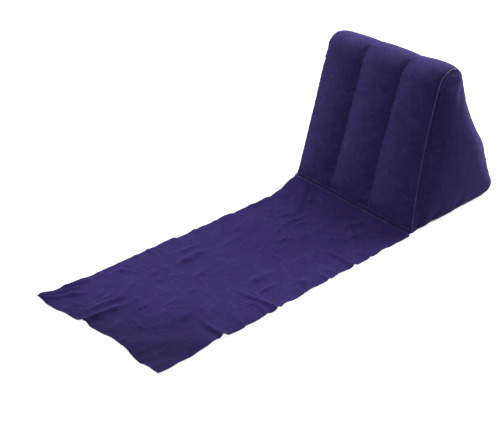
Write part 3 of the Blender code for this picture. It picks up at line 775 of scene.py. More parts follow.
def flatten_for_valve(points, seat):
    """Round the valve the sheet is stiff and lies flat."""
    offset = points - np.array(seat)
    rise = offset @ np.array(VALVE_OUT)
    flat = offset - rise[..., None] * np.array(VALVE_OUT)
    reach = np.linalg.norm(flat, axis=-1)
    hold = 1 - eased((reach - VALVE_PAD_RADIUS) / VALVE_PAD_EDGE)
    hold = np.where(np.abs(rise) < VALVE_PAD_EDGE, hold, 0.0)
    points -= (rise * hold)[..., None] * np.array(VALVE_OUT)


def patch(loop, u, v):
    """A grid inside a seam's loop, from its front edge (u 0) to its back (1), and upwards (v)."""
    start = FRONT_ROWS + RIDGE_ROWS
    front = loop[: FRONT_ROWS + 1]
    ridge = loop[FRONT_ROWS : start + 1]
    back = loop[start : start + FRONT_ROWS + 1][::-1]
    base = loop[start + FRONT_ROWS :][::-1]
    flat = base[None] * (1 - v) + ridge[None] * v + front[:, None] * (1 - u) + back[:, None] * u
    flat = flat - (base[0] * (1 - u) + base[-1] * u) * (1 - v)
    return flat - (ridge[0] * (1 - u) + ridge[-1] * u) * v


def end_points(sizes, line, loop, ripple, side):
    """An end sheet as a grid inside its seam, from the front edge to the back and upwards."""
    loop = loop - ripple
    u, v = np.meshgrid(np.linspace(0, 1, RIDGE_ROWS + 1), np.linspace(0, 1, FRONT_ROWS + 1))
    flat = patch(loop, u[..., None], v[..., None])
    back, up = u**END_PEAK_BACK, v**END_PEAK_DOWN
    swell = sizes.side_crown * (16 * back * (1 - back) * up * (1 - up)) ** END_ROUNDNESS
    gap = np.linalg.norm(flat[:, :, None, 1:] - loop[None, None, :, 1:], axis=-1)
    nearest, distance = gap.argmin(axis=2), gap.min(axis=2)
    depth = gathers(sizes, WORDS[side] + " end", line.at(line.travelled, station_rows()))
    swell = swell - sizes.pucker * depth[nearest] * pucker_fade(sizes, distance)
    swell = swell + sizes.dent * 2 * rough(flat, END_DENTS[side]) * eased(distance / DENT_FADE)
    points = flat + ripple[nearest] * np.exp(-distance / sizes.ripple_reach)[..., None]
    points[..., 0] += side * swell
    return points if side > 0 else points[:, ::-1]


# The air: a cloth simulation of the closed wedge, held along its welds


def grid_faces(numbers):
    """The four-sided faces of a grid, from the numbers of its points."""
    corners = (numbers[:-1, :-1], numbers[:-1, 1:], numbers[1:, 1:], numbers[1:, :-1])
    return np.stack([corner.ravel() for corner in corners], axis=-1)


def shared_numbers(grids):
    """Each grid point's number in one closed shell, the same on both sides of a weld."""
    rows, columns = grids[0].shape[:2]
    numbers = {0: (np.arange(rows) % (rows - 1))[:, None] * columns + np.arange(columns)}
    count = (rows - 1) * columns
    for side, column in ((-1, 0), (1, -1)):
        tall, wide = grids[side].shape[0] - 1, grids[side].shape[1] - 1
        loop = numbers[0][:, column]
        inside = (tall - 1) * (wide - 1)
        end = np.zeros((tall + 1, wide + 1), int)
        end[1:-1, 1:-1] = np.arange(inside).reshape(tall - 1, wide - 1) + count
        count += inside
        end[:, 0] = loop[: tall + 1]
        end[-1] = loop[tall : tall + wide + 1]
        end[:, -1] = loop[tall + wide : 2 * tall + wide + 1][::-1]
        end[0] = loop[2 * tall + wide :][::-1]
        numbers[side] = end if side > 0 else end[:, ::-1]
    return numbers, count


def held_points(valve, wrap):
    """Which points of the wrap the welds, the inner webs, the valve and the floor hold."""
    stations = station_rows()
    webs = read_table(CHANNEL_SHARES, stations) > WEB_HOLDS
    held = np.linalg.norm(wrap - np.array(valve_seat(valve)), axis=-1) < VALVE_PAD_RADIUS
    held[:, [0, -1]] = held[[0, -1]] = True
    held[stations > 4] = True
    held[np.ix_(webs, [CHANNEL_COLUMNS, 2 * CHANNEL_COLUMNS])] = True
    return held


def finer(values):
    """A grid of values with one more, on a smooth curve, between each two of its own."""
    for axis in (0, 1):
        values = np.swapaxes(values, 0, axis)
        ends = (2 * values[:1] - values[1:2], 2 * values[-1:] - values[-2:-1])
        longer = np.concatenate([ends[0], values, ends[1]])
        made = np.zeros((2 * len(values) - 1, *values.shape[1:]))
        made[::2] = values
        made[1::2] = (9 * (longer[1:-2] + longer[2:-1]) - longer[:-3] - longer[3:]) / 16
        values = np.swapaxes(made, 0, axis)
    return values


def simulated(scene, points, faces, held):
    """Where air pressure moves the points of a closed shell."""
    air = scene.air_sizes
    mesh = bpy.data.meshes.new("shell")
    mesh.from_pydata(points.tolist(), [], faces.tolist())
    shell = linked("shell", mesh)
    shell.vertex_groups.new(name="held").add(held.tolist(), 1.0, "REPLACE")
    cloth = shell.modifiers.new("air", "CLOTH")
    cloth.point_cache.frame_end = air.steps
    vinyl = cloth.settings
    vinyl.vertex_group_mass = "held"
    vinyl.use_pressure = True
    vinyl.uniform_pressure_force = air.pressure
    vinyl.effector_weights.gravity = 0
    vinyl.tension_stiffness = vinyl.compression_stiffness = air.stretch
    vinyl.bending_stiffness = air.bend
    vinyl.shrink_min = -air.slack
    for step in range(1, air.steps + 1):
        scene.frame_set(step)
    graph = bpy.context.evaluated_depsgraph_get()
    result = shell.evaluated_get(graph).data
    moved = np.zeros(len(points) * 3)
    result.vertices.foreach_get("co", moved)
    scene.frame_set(1)
    bpy.data.objects.remove(shell)
    bpy.data.meshes.remove(mesh)
    return moved.reshape(-1, 3)


def blow_up(scene, wrap, ends):
    """Moves the wedge's points as the air does, worked out at every other one of them."""
    air = scene.air_sizes
    grids = {0: wrap, -1: ends[-1], 1: ends[1]}
    coarse = {key: grid[::2, ::2] for key, grid in grids.items()}
    numbers, count = shared_numbers(coarse)
    points = np.zeros((count, 3))
    for key, own in numbers.items():
        points[own.ravel()] = coarse[key].reshape(-1, 3)
    faces = np.concatenate([grid_faces(own) for own in numbers.values()])
    held = np.unique(numbers[0][held_points(scene.valve_sizes, wrap)[::2, ::2]])
    moves = simulated(scene, points, faces, held) - points
    for key, own in numbers.items():
        reach = air.end_reach if key else air.reach
        size = np.linalg.norm(moves[own], axis=-1, keepdims=True)
        capped = moves[own] * reach * np.tanh(size / reach) / np.maximum(size, 1e-9)
        grids[key] += finer(capped)
        grids[key][..., 2] = np.maximum(grids[key][..., 2], 0.0)


# Shapes: the mat


def smooth_line(points, steps):
    """A smooth line through three or four points, and how far along it each step is."""
    points = np.array(points, float)
    spans = np.linalg.norm(np.diff(points, axis=0), axis=1)
    places = np.concatenate([[0.0], np.cumsum(spans)]) / spans.sum()
    s = np.linspace(0, 1, steps)
    line = [np.polyval(np.polyfit(places, values, len(points) - 1), s) for values in points.T]
    return np.stack(line, axis=-1), s


def fold_height(x, y, points, width, lean, starts_inside=True, ends_inside=True):
    """The height share of one fold at each point: a crest that fades where it ends inside."""
    line, s = smooth_line(points, FOLD_STEPS)
    reach = width * lean * FOLD_CUTOFF
    near = (x > line[:, 0].min() - reach) & (x < line[:, 0].max() + reach)
    near &= (y > line[:, 1].min() - reach) & (y < line[:, 1].max() + reach)
    offset = np.stack([x[near], y[near]], axis=-1)[:, None] - line[None]
    distance = np.linalg.norm(offset, axis=-1)
    nearest = distance.argmin(axis=1)
    pick = np.arange(len(nearest))
    along = np.gradient(line, axis=0)[nearest]
    aside = offset[pick, nearest]
    left = along[:, 0] * aside[:, 1] - along[:, 1] * aside[:, 0] > 0
    spread = np.where(left, width * lean, width)
    crest = np.exp(-((distance[pick, nearest] / spread) ** FOLD_SHARPNESS))
    if starts_inside:
        crest *= eased(s[nearest] / FOLD_RISE)
    if ends_inside:
        crest *= eased((1 - s[nearest]) / FOLD_FALL)
    height = np.zeros(x.shape)
    height[near] = crest
    return height


def on_mat(mat, across, along):
    """The place (x, y) of shares of the mat's half width and of its length."""
    return mat.offset + across * mat.width / 2, HINGE.y - along * mat.length


def small_creases(mat, x, y):
    """Many short, shallow creases: along the mat in its middle, across it near its edges."""
    rng = np.random.RandomState(mat.seed)
    height = np.zeros(x.shape)
    for _ in range(SMALL_CREASES):
        across, along = rng.uniform(*CREASE_ACROSS), rng.uniform(*CREASE_ALONG)
        heading = rng.normal(math.radians(rng.choice(CREASE_HEADINGS)), HEADING_SPREAD)
        if abs(across) > EDGE_STARTS:
            heading = rng.normal(math.radians(EDGE_HEADING), HEADING_SPREAD)
        reach = rng.uniform(*CREASE_REACH)
        width = rng.uniform(*CREASE_WIDTH)
        bend = rng.uniform(*CREASE_BEND) * reach
        middle = np.array(on_mat(mat, across, along))
        ahead = np.array((math.cos(heading), math.sin(heading))) * reach
        aside = np.array((-ahead[1], ahead[0])) / reach * bend
        line = (middle - ahead, middle + aside, middle + ahead)
        strength = rng.uniform(*CREASE_STRENGTH)
        height += strength * fold_height(x, y, line, width, rng.uniform(*CREASE_LEAN))
    return height


class MatGrid:
    """The mat's underside: rows from the weld forward, columns from right to left."""

    def __init__(self, mat):
        self.mat = mat
        rows = np.linspace(0, 1, MAT_ROWS + 1) ** MAT_CROWDING
        self.across, self.along = np.meshgrid(np.linspace(1, -1, MAT_COLUMNS + 1), rows)
        trim = read_table(FRONT_EDGE_SHARES, self.across) * mat.trim
        self.travelled = self.along * (mat.length - mat.skew / 2 * self.across - trim)
        self.x = mat.offset + self.across * mat.width / 2
        self.y = HINGE.y - self.travelled
        self.flat = np.stack([self.x, self.y, np.zeros(self.x.shape)], axis=-1)
        self.folds = mat.fold * self.fold_shares()

    def fold_shares(self):
        """The sum of the folds at each point, in shares of the fold height."""
        total = np.zeros(self.x.shape)
        for points, strength, width, lean in MAT_FOLD_SHARES:
            places = [on_mat(self.mat, *point) for point in points]
            inside = [abs(a) < 1 and 0 < b < 1 for a, b in (points[0], points[-1])]
            total += strength * fold_height(self.x, self.y, places, width, lean, *inside)
        return total

    def swell_shares(self):
        """The sum of the wide swells at each point, in shares of the swell height."""
        total = np.zeros(self.x.shape)
        for across, along, reach_across, reach_along, strength in MAT_SWELL_SHARES:
            hump = ((self.across - across) / reach_across) ** 2
            hump += ((self.along - along) / reach_along) ** 2
            total += strength * np.exp(-hump)
        return total

    def on_the_ground(self, settled):
        """How high the folds, creases and swells lie, once they have settled past the ramp."""
        mat, flat = self.mat, self.flat
        z = self.folds * (FOLDS_ON_RAMP + (1 - FOLDS_ON_RAMP) * settled)
        z += mat.swell * self.swell_shares() * settled
        fine = (0.5 - np.abs(rough(flat, FINE_CREASES))) * eased(0.5 + rough(flat, FINE_PATCHES))
        z += mat.wrinkle * (small_creases(mat, self.x, self.y) + FINE_SHARE * fine)
        rim = np.abs(self.across) ** SIDE_RIM_POWER + self.along**FRONT_RIM_POWER
        waves = np.clip(rough(flat, RIM_WAVES) + RIM_BIAS, 0, 1)
        z += mat.wrinkle * RIM_LIFT * waves * rim
        corner = np.hypot(self.x - self.x[-1, -1], self.y - self.y[-1, -1])
        z += mat.corner_lift * np.exp(-((corner / CORNER_LIFT_REACH) ** 2))
        return np.maximum(z, 0.0)

    def heights(self, wedge):
        """How high each point lies, on the ramp down from the weld and on the ground."""
        mat, travelled = self.mat, self.travelled
        ground = self.on_the_ground(eased((travelled - mat.ramp * RAMP_CLEAR) / mat.ramp))
        weld = HINGE.z - mat.sheet + roll_lift(wedge, self.x, wedge.seam_height)
        ramp = mat.ramp * read_table(RAMP_SHARES, self.across)
        ramp = weld * (1 - np.minimum(travelled / ramp, 1)) ** RAMP_CURVE
        return ramp + ground * eased(travelled / LIFT_OFF)

    def aside(self):
        """How far each point strays to the right, most of all at the side edges."""
        mat, along, travelled = self.mat, self.along, self.travelled
        far, near = np.maximum(-self.across, 0), np.maximum(self.across, 0)
        stray = rough(self.flat, *SIDE_WAVES) - np.sign(self.across) * FOLD_PULL * self.folds
        stray = stray * np.abs(self.across) ** SIDE_STRAY_POWER
        far_flare = (1 - np.minimum(travelled / FAR_FLARE_REACH, 1)) ** 2
        near_flare = (1 - np.minimum(travelled / NEAR_FLARE_REACH, 1)) ** 2
        stray -= mat.flare * far_flare * far**FAR_FLARE_POWER
        rounding = mat.rounding * np.exp(-travelled / ROUNDING_REACH)
        stray += (mat.flare * near_flare - rounding) * near**BULGE_POWER
        trimmed = eased((along - FAR_TRIM_START) / FAR_TRIM_START)
        stray += FAR_TRIM * trimmed * far**BULGE_POWER
        for side, bulges in EDGE_BULGES.items():
            edge = np.maximum(side * self.across, 0) ** BULGE_POWER
            for place, reach, outwards in bulges:
                bulge = outwards * np.exp(-(((along - place) / reach) ** 2))
                stray += side * bulge * edge
        return stray

    def points(self, wedge):
        """The grid's points, with the front edge pulled back by its folds."""
        pull = rough(self.flat, FRONT_WAVES) + FRONT_PULL * self.folds
        y = self.y + pull * self.along**FRONT_STRAY_POWER
        return np.stack([self.x + self.aside(), y, self.heights(wedge)], axis=-1)


# Meshes


def linked(name, data):
    """A new object in the scene."""
    item = bpy.data.objects.new(name, data)
    bpy.context.scene.collection.objects.link(item)
    return item


def clad(mesh, material, sharp=SHARP_EDGE):
    """Gives a mesh its one material, and smooth shading between its sharp edges."""
    mesh.materials.clear()
    mesh.materials.append(material)
    mesh.shade_smooth()
    mesh.set_sharp_from_angle(angle=sharp)


def closed_sheet(name, outer, inner, material, sharp=SHARP_EDGE):
    """A thin closed sheet from its outer and inner grids of points."""
    rows, columns = outer.shape[:2]
    total = rows * columns
    index = np.arange(total).reshape(rows, columns)
    quads = grid_faces(index)
    ring = np.concatenate([index[0], index[1:, -1], index[-1, -2::-1], index[-2:0:-1, 0]])
    after = np.roll(ring, -1)
    rim = np.stack([after, ring, ring + total, after + total], axis=-1)
    faces = np.concatenate([quads, quads[:, ::-1] + total, rim])
    points = np.concatenate([outer.reshape(-1, 3), inner.reshape(-1, 3)])
    mesh = bpy.data.meshes.new(name)
    mesh.from_pydata(points.tolist(), [], faces.tolist())
    clad(mesh, material, sharp)
    return linked(name, mesh)


def plain_mesh(item):
    """The evaluated shape of an object as a plain mesh, with its modifiers gone."""
    bpy.context.view_layer.update()
    graph = bpy.context.evaluated_depsgraph_get()
    mesh = bpy.data.meshes.new_from_object(item.evaluated_get(graph))
    old = item.data
    item.modifiers.clear()
    item.data = mesh
    bpy.data.meshes.remove(old)
    mesh.name = item.name
    return item


def finish(item, body, slot, *nodes):
    """The piece rides on its body and stands for CAD nodes, which it hides. Its slot is not used.
    """
    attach(item, body)
    if nodes:
        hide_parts(*nodes)


def turned(name, profile, edge, place, material):
    """A closed profile of (radius, height) points turned about the valve's axis."""
    mesh = bpy.data.meshes.new(name)
    edges = [(i, i + 1) for i in range(len(profile) - 1)]
    if profile[0][0] > 0:
        edges.append((len(profile) - 1, 0))
    mesh.from_pydata([(radius, 0, height) for radius, height in profile], edges, [])
    item = linked(name, mesh)
    screw = item.modifiers.new("turn", "SCREW")
    screw.steps = screw.render_steps = VALVE_SIDES
    screw.use_merge_vertices = True
    screw.merge_threshold = AXIS_MERGE
    screw.use_normal_calculate = True
    bevel = item.modifiers.new("edges", "BEVEL")
    bevel.width = edge
    bevel.segments = 2
    bevel.limit_method = "ANGLE"
    bevel.angle_limit = ROUNDED_EDGE
    plain_mesh(item)
    face_outwards(item.data)
    item.data.transform(place)
    clad(item.data, material)
    return item


def face_outwards(mesh):
    """Turns a closed mesh the right way out if its signed volume is negative."""
    mesh.calc_loop_triangles()
    volume = sum(
        mesh.vertices[a].co.dot(mesh.vertices[b].co.cross(mesh.vertices[c].co))
        for a, b, c in (triangle.vertices for triangle in mesh.loop_triangles)
    )
    if volume < 0:
        mesh.flip_normals()


# Node trees


class Nodes:
    """A node tree, with short ways to add a node to it and get its output."""

    def __init__(self, tree):
        self.tree = tree

    def feed(self, sockets, values):
        """Links sockets, by name or number, to their values, or sets them as constants."""
        for key, value in values.items():
            socket = sockets[key]
            if isinstance(value, bpy.types.NodeSocket):
                self.tree.links.new(value, socket)
            elif socket.type == "RGBA" and len(value) == 3:
                socket.default_value = (*value, 1.0)
            else:
                socket.default_value = value

    def add(self, kind, inputs=None, output=0, **settings):
        node = self.tree.nodes.new(kind)
        for name, value in settings.items():
            setattr(node, name, value)
        self.feed(node.inputs, inputs or {})
        return node.outputs[output]

    def group(self, group, inputs):
        """All the outputs of a group's node."""
        node = self.tree.nodes.new("ShaderNodeGroup")
        node.node_tree = group
        self.feed(node.inputs, inputs)
        return node.outputs

    def place(self):
        return self.add("ShaderNodeTexCoord", output="Object")

    def calculate(self, operation, first, second=0.0):
        return self.add("ShaderNodeMath", {0: first, 1: second}, operation=operation)

    def plus(self, first, second):
        return self.calculate("ADD", first, second)

    def times(self, first, second):
        return self.calculate("MULTIPLY", first, second)

    def scaled(self, vector, factor):
        inputs = {0: vector, "Scale": factor}
        return self.add("ShaderNodeVectorMath", inputs, operation="SCALE")

    def noise(self, vector, scale, detail=2.0, roughness=0.5, distortion=0.0):
        inputs = {
            "Vector": vector,
            "Scale": scale,
            "Detail": detail,
            "Roughness": roughness,
            "Distortion": distortion,
        }
        return self.add("ShaderNodeTexNoise", inputs, "Fac")

    def remap(self, value, low, high, start=0.0, end=1.0):
        inputs = {"Value": value, "From Min": low, "From Max": high}
        inputs |= {"To Min": start, "To Max": end}
        return self.add("ShaderNodeMapRange", inputs, "Result", clamp=True)

    def mix(self, factor, first, second):
        return self.add("ShaderNodeMix", {0: factor, 6: first, 7: second}, 2, data_type="RGBA")

    def mapped(self, vector, rotation, scale):
        inputs = {"Vector": vector, "Rotation": rotation, "Scale": scale}
        return self.add("ShaderNodeMapping", inputs)

    def bump(self, height, distance, strength=1.0, **normal):
        inputs = {"Height": height, "Distance": distance, "Strength": strength, **normal}
        return self.add("ShaderNodeBump", inputs, "Normal")


def new_tree(name, kind, inputs, outputs):
    """An empty node group whose sockets have the given names and kinds."""
    tree = bpy.data.node_groups.new(name, kind)
    for way, sockets in (("INPUT", inputs), ("OUTPUT", outputs)):
        for socket, holds in sockets.items():
            tree.interface.new_socket(socket, in_out=way, socket_type="NodeSocket" + holds)
    entry, leave = tree.nodes.new("NodeGroupInput"), tree.nodes.new("NodeGroupOutput")
    return Nodes(tree), entry.outputs, leave.inputs


def shader_tree(name, defaults, outputs):
    """An empty shader group. Its inputs have their defaults: three numbers for a colour."""
    kinds = {key: "Color" if isinstance(defaults[key], tuple) else "Float" for key in defaults}
    nodes, given, made = new_tree(name, "ShaderNodeTree", kinds, outputs)
    for item in nodes.tree.interface.items_tree:
        if item.in_out == "INPUT":
            value = defaults[item.name]
            item.default_value = (*value, 1.0) if isinstance(value, tuple) else value
    return nodes, given, made


def made_once(build):
    """Makes a function give the node group of its own name, which it fills only once."""
    name = build.__name__.replace("_", " ")

    @functools.wraps(build)
    def group():
        if name not in bpy.data.node_groups:
            build(name)
        return bpy.data.node_groups[name]

    return group


SURFACE = {"Colour": "Color", "Roughness": "Float", "Height": "Float"}


@made_once
def flock_nap(name):
    """Flock: blotches where the nap is brushed, a fine pile, and a few pale specks."""
    defaults = {
        "Colour": (0.05, 0.03, 0.15),
        "Brushed": (0.06, 0.04, 0.18),
        "Speck": (0.22, 0.19, 0.36),
        "Brushing": 0.5,
        "Mottle": 0.2,
        "Scuffs": 0.7,
    }
    nodes, given, made = shader_tree(name, defaults, SURFACE)
    place = nodes.place()
    wide = nodes.noise(place, 15.0, detail=4.0, roughness=0.6, distortion=0.8)
    mottle = nodes.noise(place, 52.0, detail=4.0, roughness=0.62)
    patches = nodes.plus(nodes.times(wide, 0.45), nodes.times(mottle, 0.55))
    brushed = nodes.times(nodes.remap(patches, 0.38, 0.64), given["Brushing"])
    body = nodes.mix(brushed, given["Colour"], given["Brushed"])

    pile = nodes.noise(place, 820.0, roughness=0.7)
    fine = nodes.calculate("SUBTRACT", nodes.noise(place, 150.0, detail=3.0, roughness=0.65), 0.5)
    spread = nodes.times(nodes.times(fine, 3.4), given["Mottle"])
    shade = nodes.plus(nodes.remap(pile, 0.30, 0.70, 0.90, 1.10), spread)
    shaded = nodes.scaled(body, shade)

    streaked = nodes.mapped(place, (0.7, 0.4, 0.9), (1, 3.4, 1))
    scuff = nodes.noise(streaked, 34.0, detail=3.0, roughness=0.6, distortion=0.5)
    scuffed = nodes.times(nodes.remap(scuff, 0.60, 0.74), given["Scuffs"])
    shaded = nodes.mix(scuffed, shaded, nodes.scaled(given["Brushed"], 1.3))

    cells = nodes.add("ShaderNodeTexVoronoi", {"Vector": place, "Scale": 62.0}, "Distance")
    chosen = nodes.calculate("GREATER_THAN", nodes.noise(place, 16.0, detail=1.0), 0.55)
    dots = nodes.times(nodes.times(nodes.remap(cells, 0.100, 0.060), chosen), 0.50)
    surface = {
        "Colour": nodes.mix(dots, shaded, given["Speck"]),
        "Roughness": nodes.remap(mottle, 0.3, 0.7, 0.82, 0.96),
        "Height": nodes.plus(nodes.times(pile, 0.30), nodes.times(mottle, 0.70)),
    }
    nodes.feed(made, surface)


@made_once
def nap_lay(name):
    """Painted shade that darkens the flock off one corner of the mat."""
    defaults = {"Colour": (0.05, 0.03, 0.15), "Amount": 0.2}
    nodes, given, made = shader_tree(name, defaults, {"Colour": "Color"})
    place = nodes.place()
    towards = {0: place, 1: (0.54, -0.84, 0.0)}
    corner = nodes.add("ShaderNodeVectorMath", towards, "Value", operation="DOT_PRODUCT")
    reach = nodes.plus(corner, nodes.times(nodes.noise(place, 11.0, detail=3.0), 0.16))
    painted_shade = nodes.times(nodes.remap(reach, 0.40, 0.64), given["Amount"])
    shade = nodes.calculate("SUBTRACT", 1.0, painted_shade)
    nodes.feed(made, {"Colour": nodes.scaled(given["Colour"], shade)})


@made_once
def sheet_crinkle(name):
    """Fine creases of a sheet that was folded away: sharp low ridges at two sizes."""
    nodes, given, made = shader_tree(name, {"Amount": 1.0}, {"Height": "Float"})
    place = nodes.place()
    stretched = nodes.mapped(place, (0, 0, 0.35), (1.7, 1.0, 1.0))
    ridges = []
    for scale, weight in ((17.0, 1.0), (41.0, 0.45)):
        waves = nodes.noise(stretched, scale, detail=1.5, distortion=0.6)
        fold = nodes.calculate("ABSOLUTE", nodes.calculate("SUBTRACT", waves, 0.5))
        ridges.append(nodes.times(nodes.remap(fold, 0.05, 0.0), weight))
    patches = nodes.remap(nodes.noise(place, 9.0), 0.42, 0.62)
    height = nodes.times(nodes.plus(*ridges), patches)
    nodes.feed(made, {"Height": nodes.times(height, given["Amount"])})


@made_once
def vinyl_grain(name):
    """Moulded or calendered vinyl: a faint grain and an uneven gloss."""
    defaults = {"Colour": (0.05, 0.04, 0.16), "Gloss": 0.4}
    nodes, given, made = shader_tree(name, defaults, SURFACE)
    place = nodes.place()
    cloud = nodes.noise(place, 30.0, detail=3.0)
    surface = {
        "Colour": nodes.scaled(given["Colour"], nodes.remap(cloud, 0.3, 0.7, 0.88, 1.12)),
        "Roughness": nodes.plus(given["Gloss"], nodes.remap(cloud, 0.3, 0.7, -0.06, 0.08)),
        "Height": nodes.noise(place, 900.0, roughness=0.6),
    }
    nodes.feed(made, surface)


# Finishes


def named_material(name, add_nodes, **details):
    """The material of a name, which gets its nodes the first time."""
    if name in bpy.data.materials:
        return bpy.data.materials[name]
    made = bpy.data.materials.new(name)
    made.use_nodes = True
    tree = made.node_tree
    add_nodes(Nodes(tree), tree.nodes["Principled BSDF"].inputs, **details)
    return made


def flock(nodes, shader, looks, tint, crinkle=0.0, brushing=0.8, mottle=0.22, lay=0.0):
    """Velvety flock on vinyl, with the creases of a sheet that lies loose where there are any."""
    given = {"Colour": tint, "Brushed": looks.flock_lit, "Brushing": brushing, "Mottle": mottle}
    nap = nodes.group(flock_nap(), given)
    body, below = nap["Colour"], {}
    # Painted shade off one corner, where the material asks for it
    if lay:
        body = nodes.group(nap_lay(), {"Colour": body, "Amount": lay})["Colour"]
    if crinkle:
        folds = nodes.group(sheet_crinkle(), {"Amount": crinkle})
        below = {"Normal": nodes.bump(folds["Height"], 0.0018)}
    surface = {
        "Base Color": body,
        "Roughness": nap["Roughness"],
        "Normal": nodes.bump(nap["Height"], 0.0004, 0.6, **below),
        "Specular IOR Level": 0.12,
        "Sheen Weight": 0.10,
        "Sheen Roughness": 0.45,
        "Sheen Tint": looks.sheen,
    }
    nodes.feed(shader, surface)


def vinyl(nodes, shader, tint, gloss, coat=0.0):
    """Bare vinyl with a faint grain."""
    grain = nodes.group(vinyl_grain(), {"Colour": tint, "Gloss": gloss})
    surface = {
        "Base Color": grain["Colour"],
        "Roughness": grain["Roughness"],
        "Normal": nodes.bump(grain["Height"], 0.00012),
        "Coat Weight": coat,
        "Coat Roughness": 0.2,
    }
    nodes.feed(shader, surface)


def weld(nodes, shader, looks, pale=0.12):
    """Pressed vinyl turned white in streaks, with a painted highlight over the top of the wedge."""
    place = nodes.place()
    streaks = nodes.remap(nodes.noise(place, 95.0, detail=3.0, roughness=0.65), 0.42, 0.62)
    # Painted highlight: the welds turn paler the higher they lie, over the top of the wedge
    height = nodes.add("ShaderNodeSeparateXYZ", {0: place}, "Z")
    top = nodes.remap(height, 0.33, 0.45, 0.0, 0.55)
    whitening_and_highlight = nodes.times(streaks, nodes.plus(top, pale))
    surface = {
        "Base Color": nodes.mix(whitening_and_highlight, looks.weld, looks.weld_pale),
        "Roughness": nodes.remap(streaks, 0.0, 1.0, 0.40, 0.62),
        "Normal": nodes.bump(nodes.noise(place, 620.0), 0.0002),
    }
    nodes.feed(shader, surface)


def seen_directly(nodes):
    """One where the camera, a reflection or a clear piece sees it, and else nothing."""
    rays = nodes.add("ShaderNodeLightPath").node.outputs
    seen = nodes.calculate("MAXIMUM", rays["Is Camera Ray"], rays["Is Glossy Ray"])
    return nodes.calculate("MAXIMUM", seen, rays["Is Transmission Ray"])


def studio_floor(nodes, shader, looks):
    """A pale floor that looks white but keeps the object's shadow."""
    surface = {
        "Base Color": looks.floor,
        "Roughness": 1.0,
        "Specular IOR Level": 0.0,
        "Emission Color": (1, 1, 1),
        "Emission Strength": nodes.times(seen_directly(nodes), 0.90),
    }
    nodes.feed(shader, surface)


# Geometry Nodes: welds that follow a line, and ribs along one


def line_tree(name, inputs):
    """An empty Geometry Nodes tree with named inputs after its geometry."""
    inputs = {"Geometry": "Geometry", **inputs, "Material": "Material"}
    tree = new_tree(name, "GeometryNodeTree", inputs, {"Geometry": "Geometry"})
    tree[0].tree.is_modifier = True
    return tree


def close_tree(nodes, geometry, given, leave):
    """Ends a tree in real, smooth faces with their material."""
    real = nodes.add("GeometryNodeRealizeInstances", {"Geometry": geometry})
    smooth = nodes.add("GeometryNodeSetShadeSmooth", {"Geometry": real})
    painted = {"Geometry": smooth, "Material": given["Material"]}
    nodes.feed(leave, {"Geometry": nodes.add("GeometryNodeSetMaterial", painted)})


def even_steps(nodes, edges, step):
    """The curve of a line of edges, in steps of about one length."""
    line = nodes.add("GeometryNodeMeshToCurve", {"Mesh": edges})
    return nodes.add("GeometryNodeResampleCurve", {"Curve": line, "Length": step}, mode="LENGTH")


@made_once
def weld_bead(name):
    """A weld bead along a line of edges: it strays a little and is thicker in places."""
    inputs = {"Radius": "Float", "Wander": "Float", "Step": "Float", "Seed": "Int"}
    nodes, given, leave = line_tree(name, inputs)
    steps = even_steps(nodes, given["Geometry"], given["Step"])
    place = nodes.add("GeometryNodeInputPosition")

    def seeded(scale, output):
        inputs = {"Vector": place, "W": given["Seed"], "Scale": scale, "Detail": 1.0}
        return nodes.add("ShaderNodeTexNoise", inputs, output, noise_dimensions="4D")

    middle = {0: seeded(60.0, "Color"), 1: (0.5, 0.5, 0.5)}
    centred = nodes.add("ShaderNodeVectorMath", middle, operation="SUBTRACT")
    stray = nodes.scaled(centred, given["Wander"])
    moved = nodes.add("GeometryNodeSetPosition", {"Geometry": steps, "Offset": stray})
    circle = {"Resolution": 8, "Radius": given["Radius"]}
    tube = {
        "Curve": moved,
        "Profile Curve": nodes.add("GeometryNodeCurvePrimitiveCircle", circle),
        "Scale": nodes.remap(seeded(130.0, "Fac"), 0.3, 0.7, 0.75, 1.25),
        "Fill Caps": True,
    }
    close_tree(nodes, nodes.add("GeometryNodeCurveToMesh", tube), given, leave)


@made_once
def pressed_ribs(name):
    """Short round ribs set side by side along a line of edges, each lying along `side`."""
    nodes, given, leave = line_tree(name, {"Pitch": "Float", "Radius": "Float", "Length": "Float"})
    steps = even_steps(nodes, given["Geometry"], given["Pitch"])
    rib = {"Vertices": 8, "Radius": given["Radius"], "Depth": given["Length"]}
    side = nodes.add(
        "GeometryNodeInputNamedAttribute", {"Name": "side"}, "Attribute", data_type="FLOAT_VECTOR"
    )
    row = {
        "Points": steps,
        "Instance": nodes.add("GeometryNodeMeshCylinder", rib),
        "Rotation": nodes.add("FunctionNodeAlignRotationToVector", {"Vector": side}, axis="Z"),
    }
    close_tree(nodes, nodes.add("GeometryNodeInstanceOnPoints", row), given, leave)


def set_inputs(modifier, values):
    """Sets a modifier's inputs by the identifiers of their sockets."""
    sockets = {
        item.name: item.identifier
        for item in modifier.node_group.interface.items_tree
        if item.item_type == "SOCKET" and item.in_out == "INPUT"
    }
    for name, value in values.items():
        modifier[sockets[name]] = value


def along_line(name, points, closed, tree, values, side=None):
    """A piece that a Geometry Nodes tree makes along a line of points."""
    last = len(points) - 1
    edges = [(i, i + 1) for i in range(last)] + ([(last, 0)] if closed else [])
    mesh = bpy.data.meshes.new(name)
    mesh.from_pydata(np.asarray(points).tolist(), edges, [])
    if side is not None:
        sides = mesh.attributes.new("side", "FLOAT_VECTOR", "POINT")
        sides.data.foreach_set("vector", np.asarray(side, float).ravel())
    item = linked(name, mesh)
    modifier = item.modifiers.new("made along a line", "NODES")
    modifier.node_group = tree
    set_inputs(modifier, values)
    return plain_mesh(item)


def bead(name, points, pressed, seed, radius, wander, step=LINE_STEP, closed=False):
    """A weld bead along a line of points."""
    values = {"Radius": radius, "Wander": wander, "Step": step, "Seed": seed, "Material": pressed}
    return along_line(name, points, closed, weld_bead(), values)


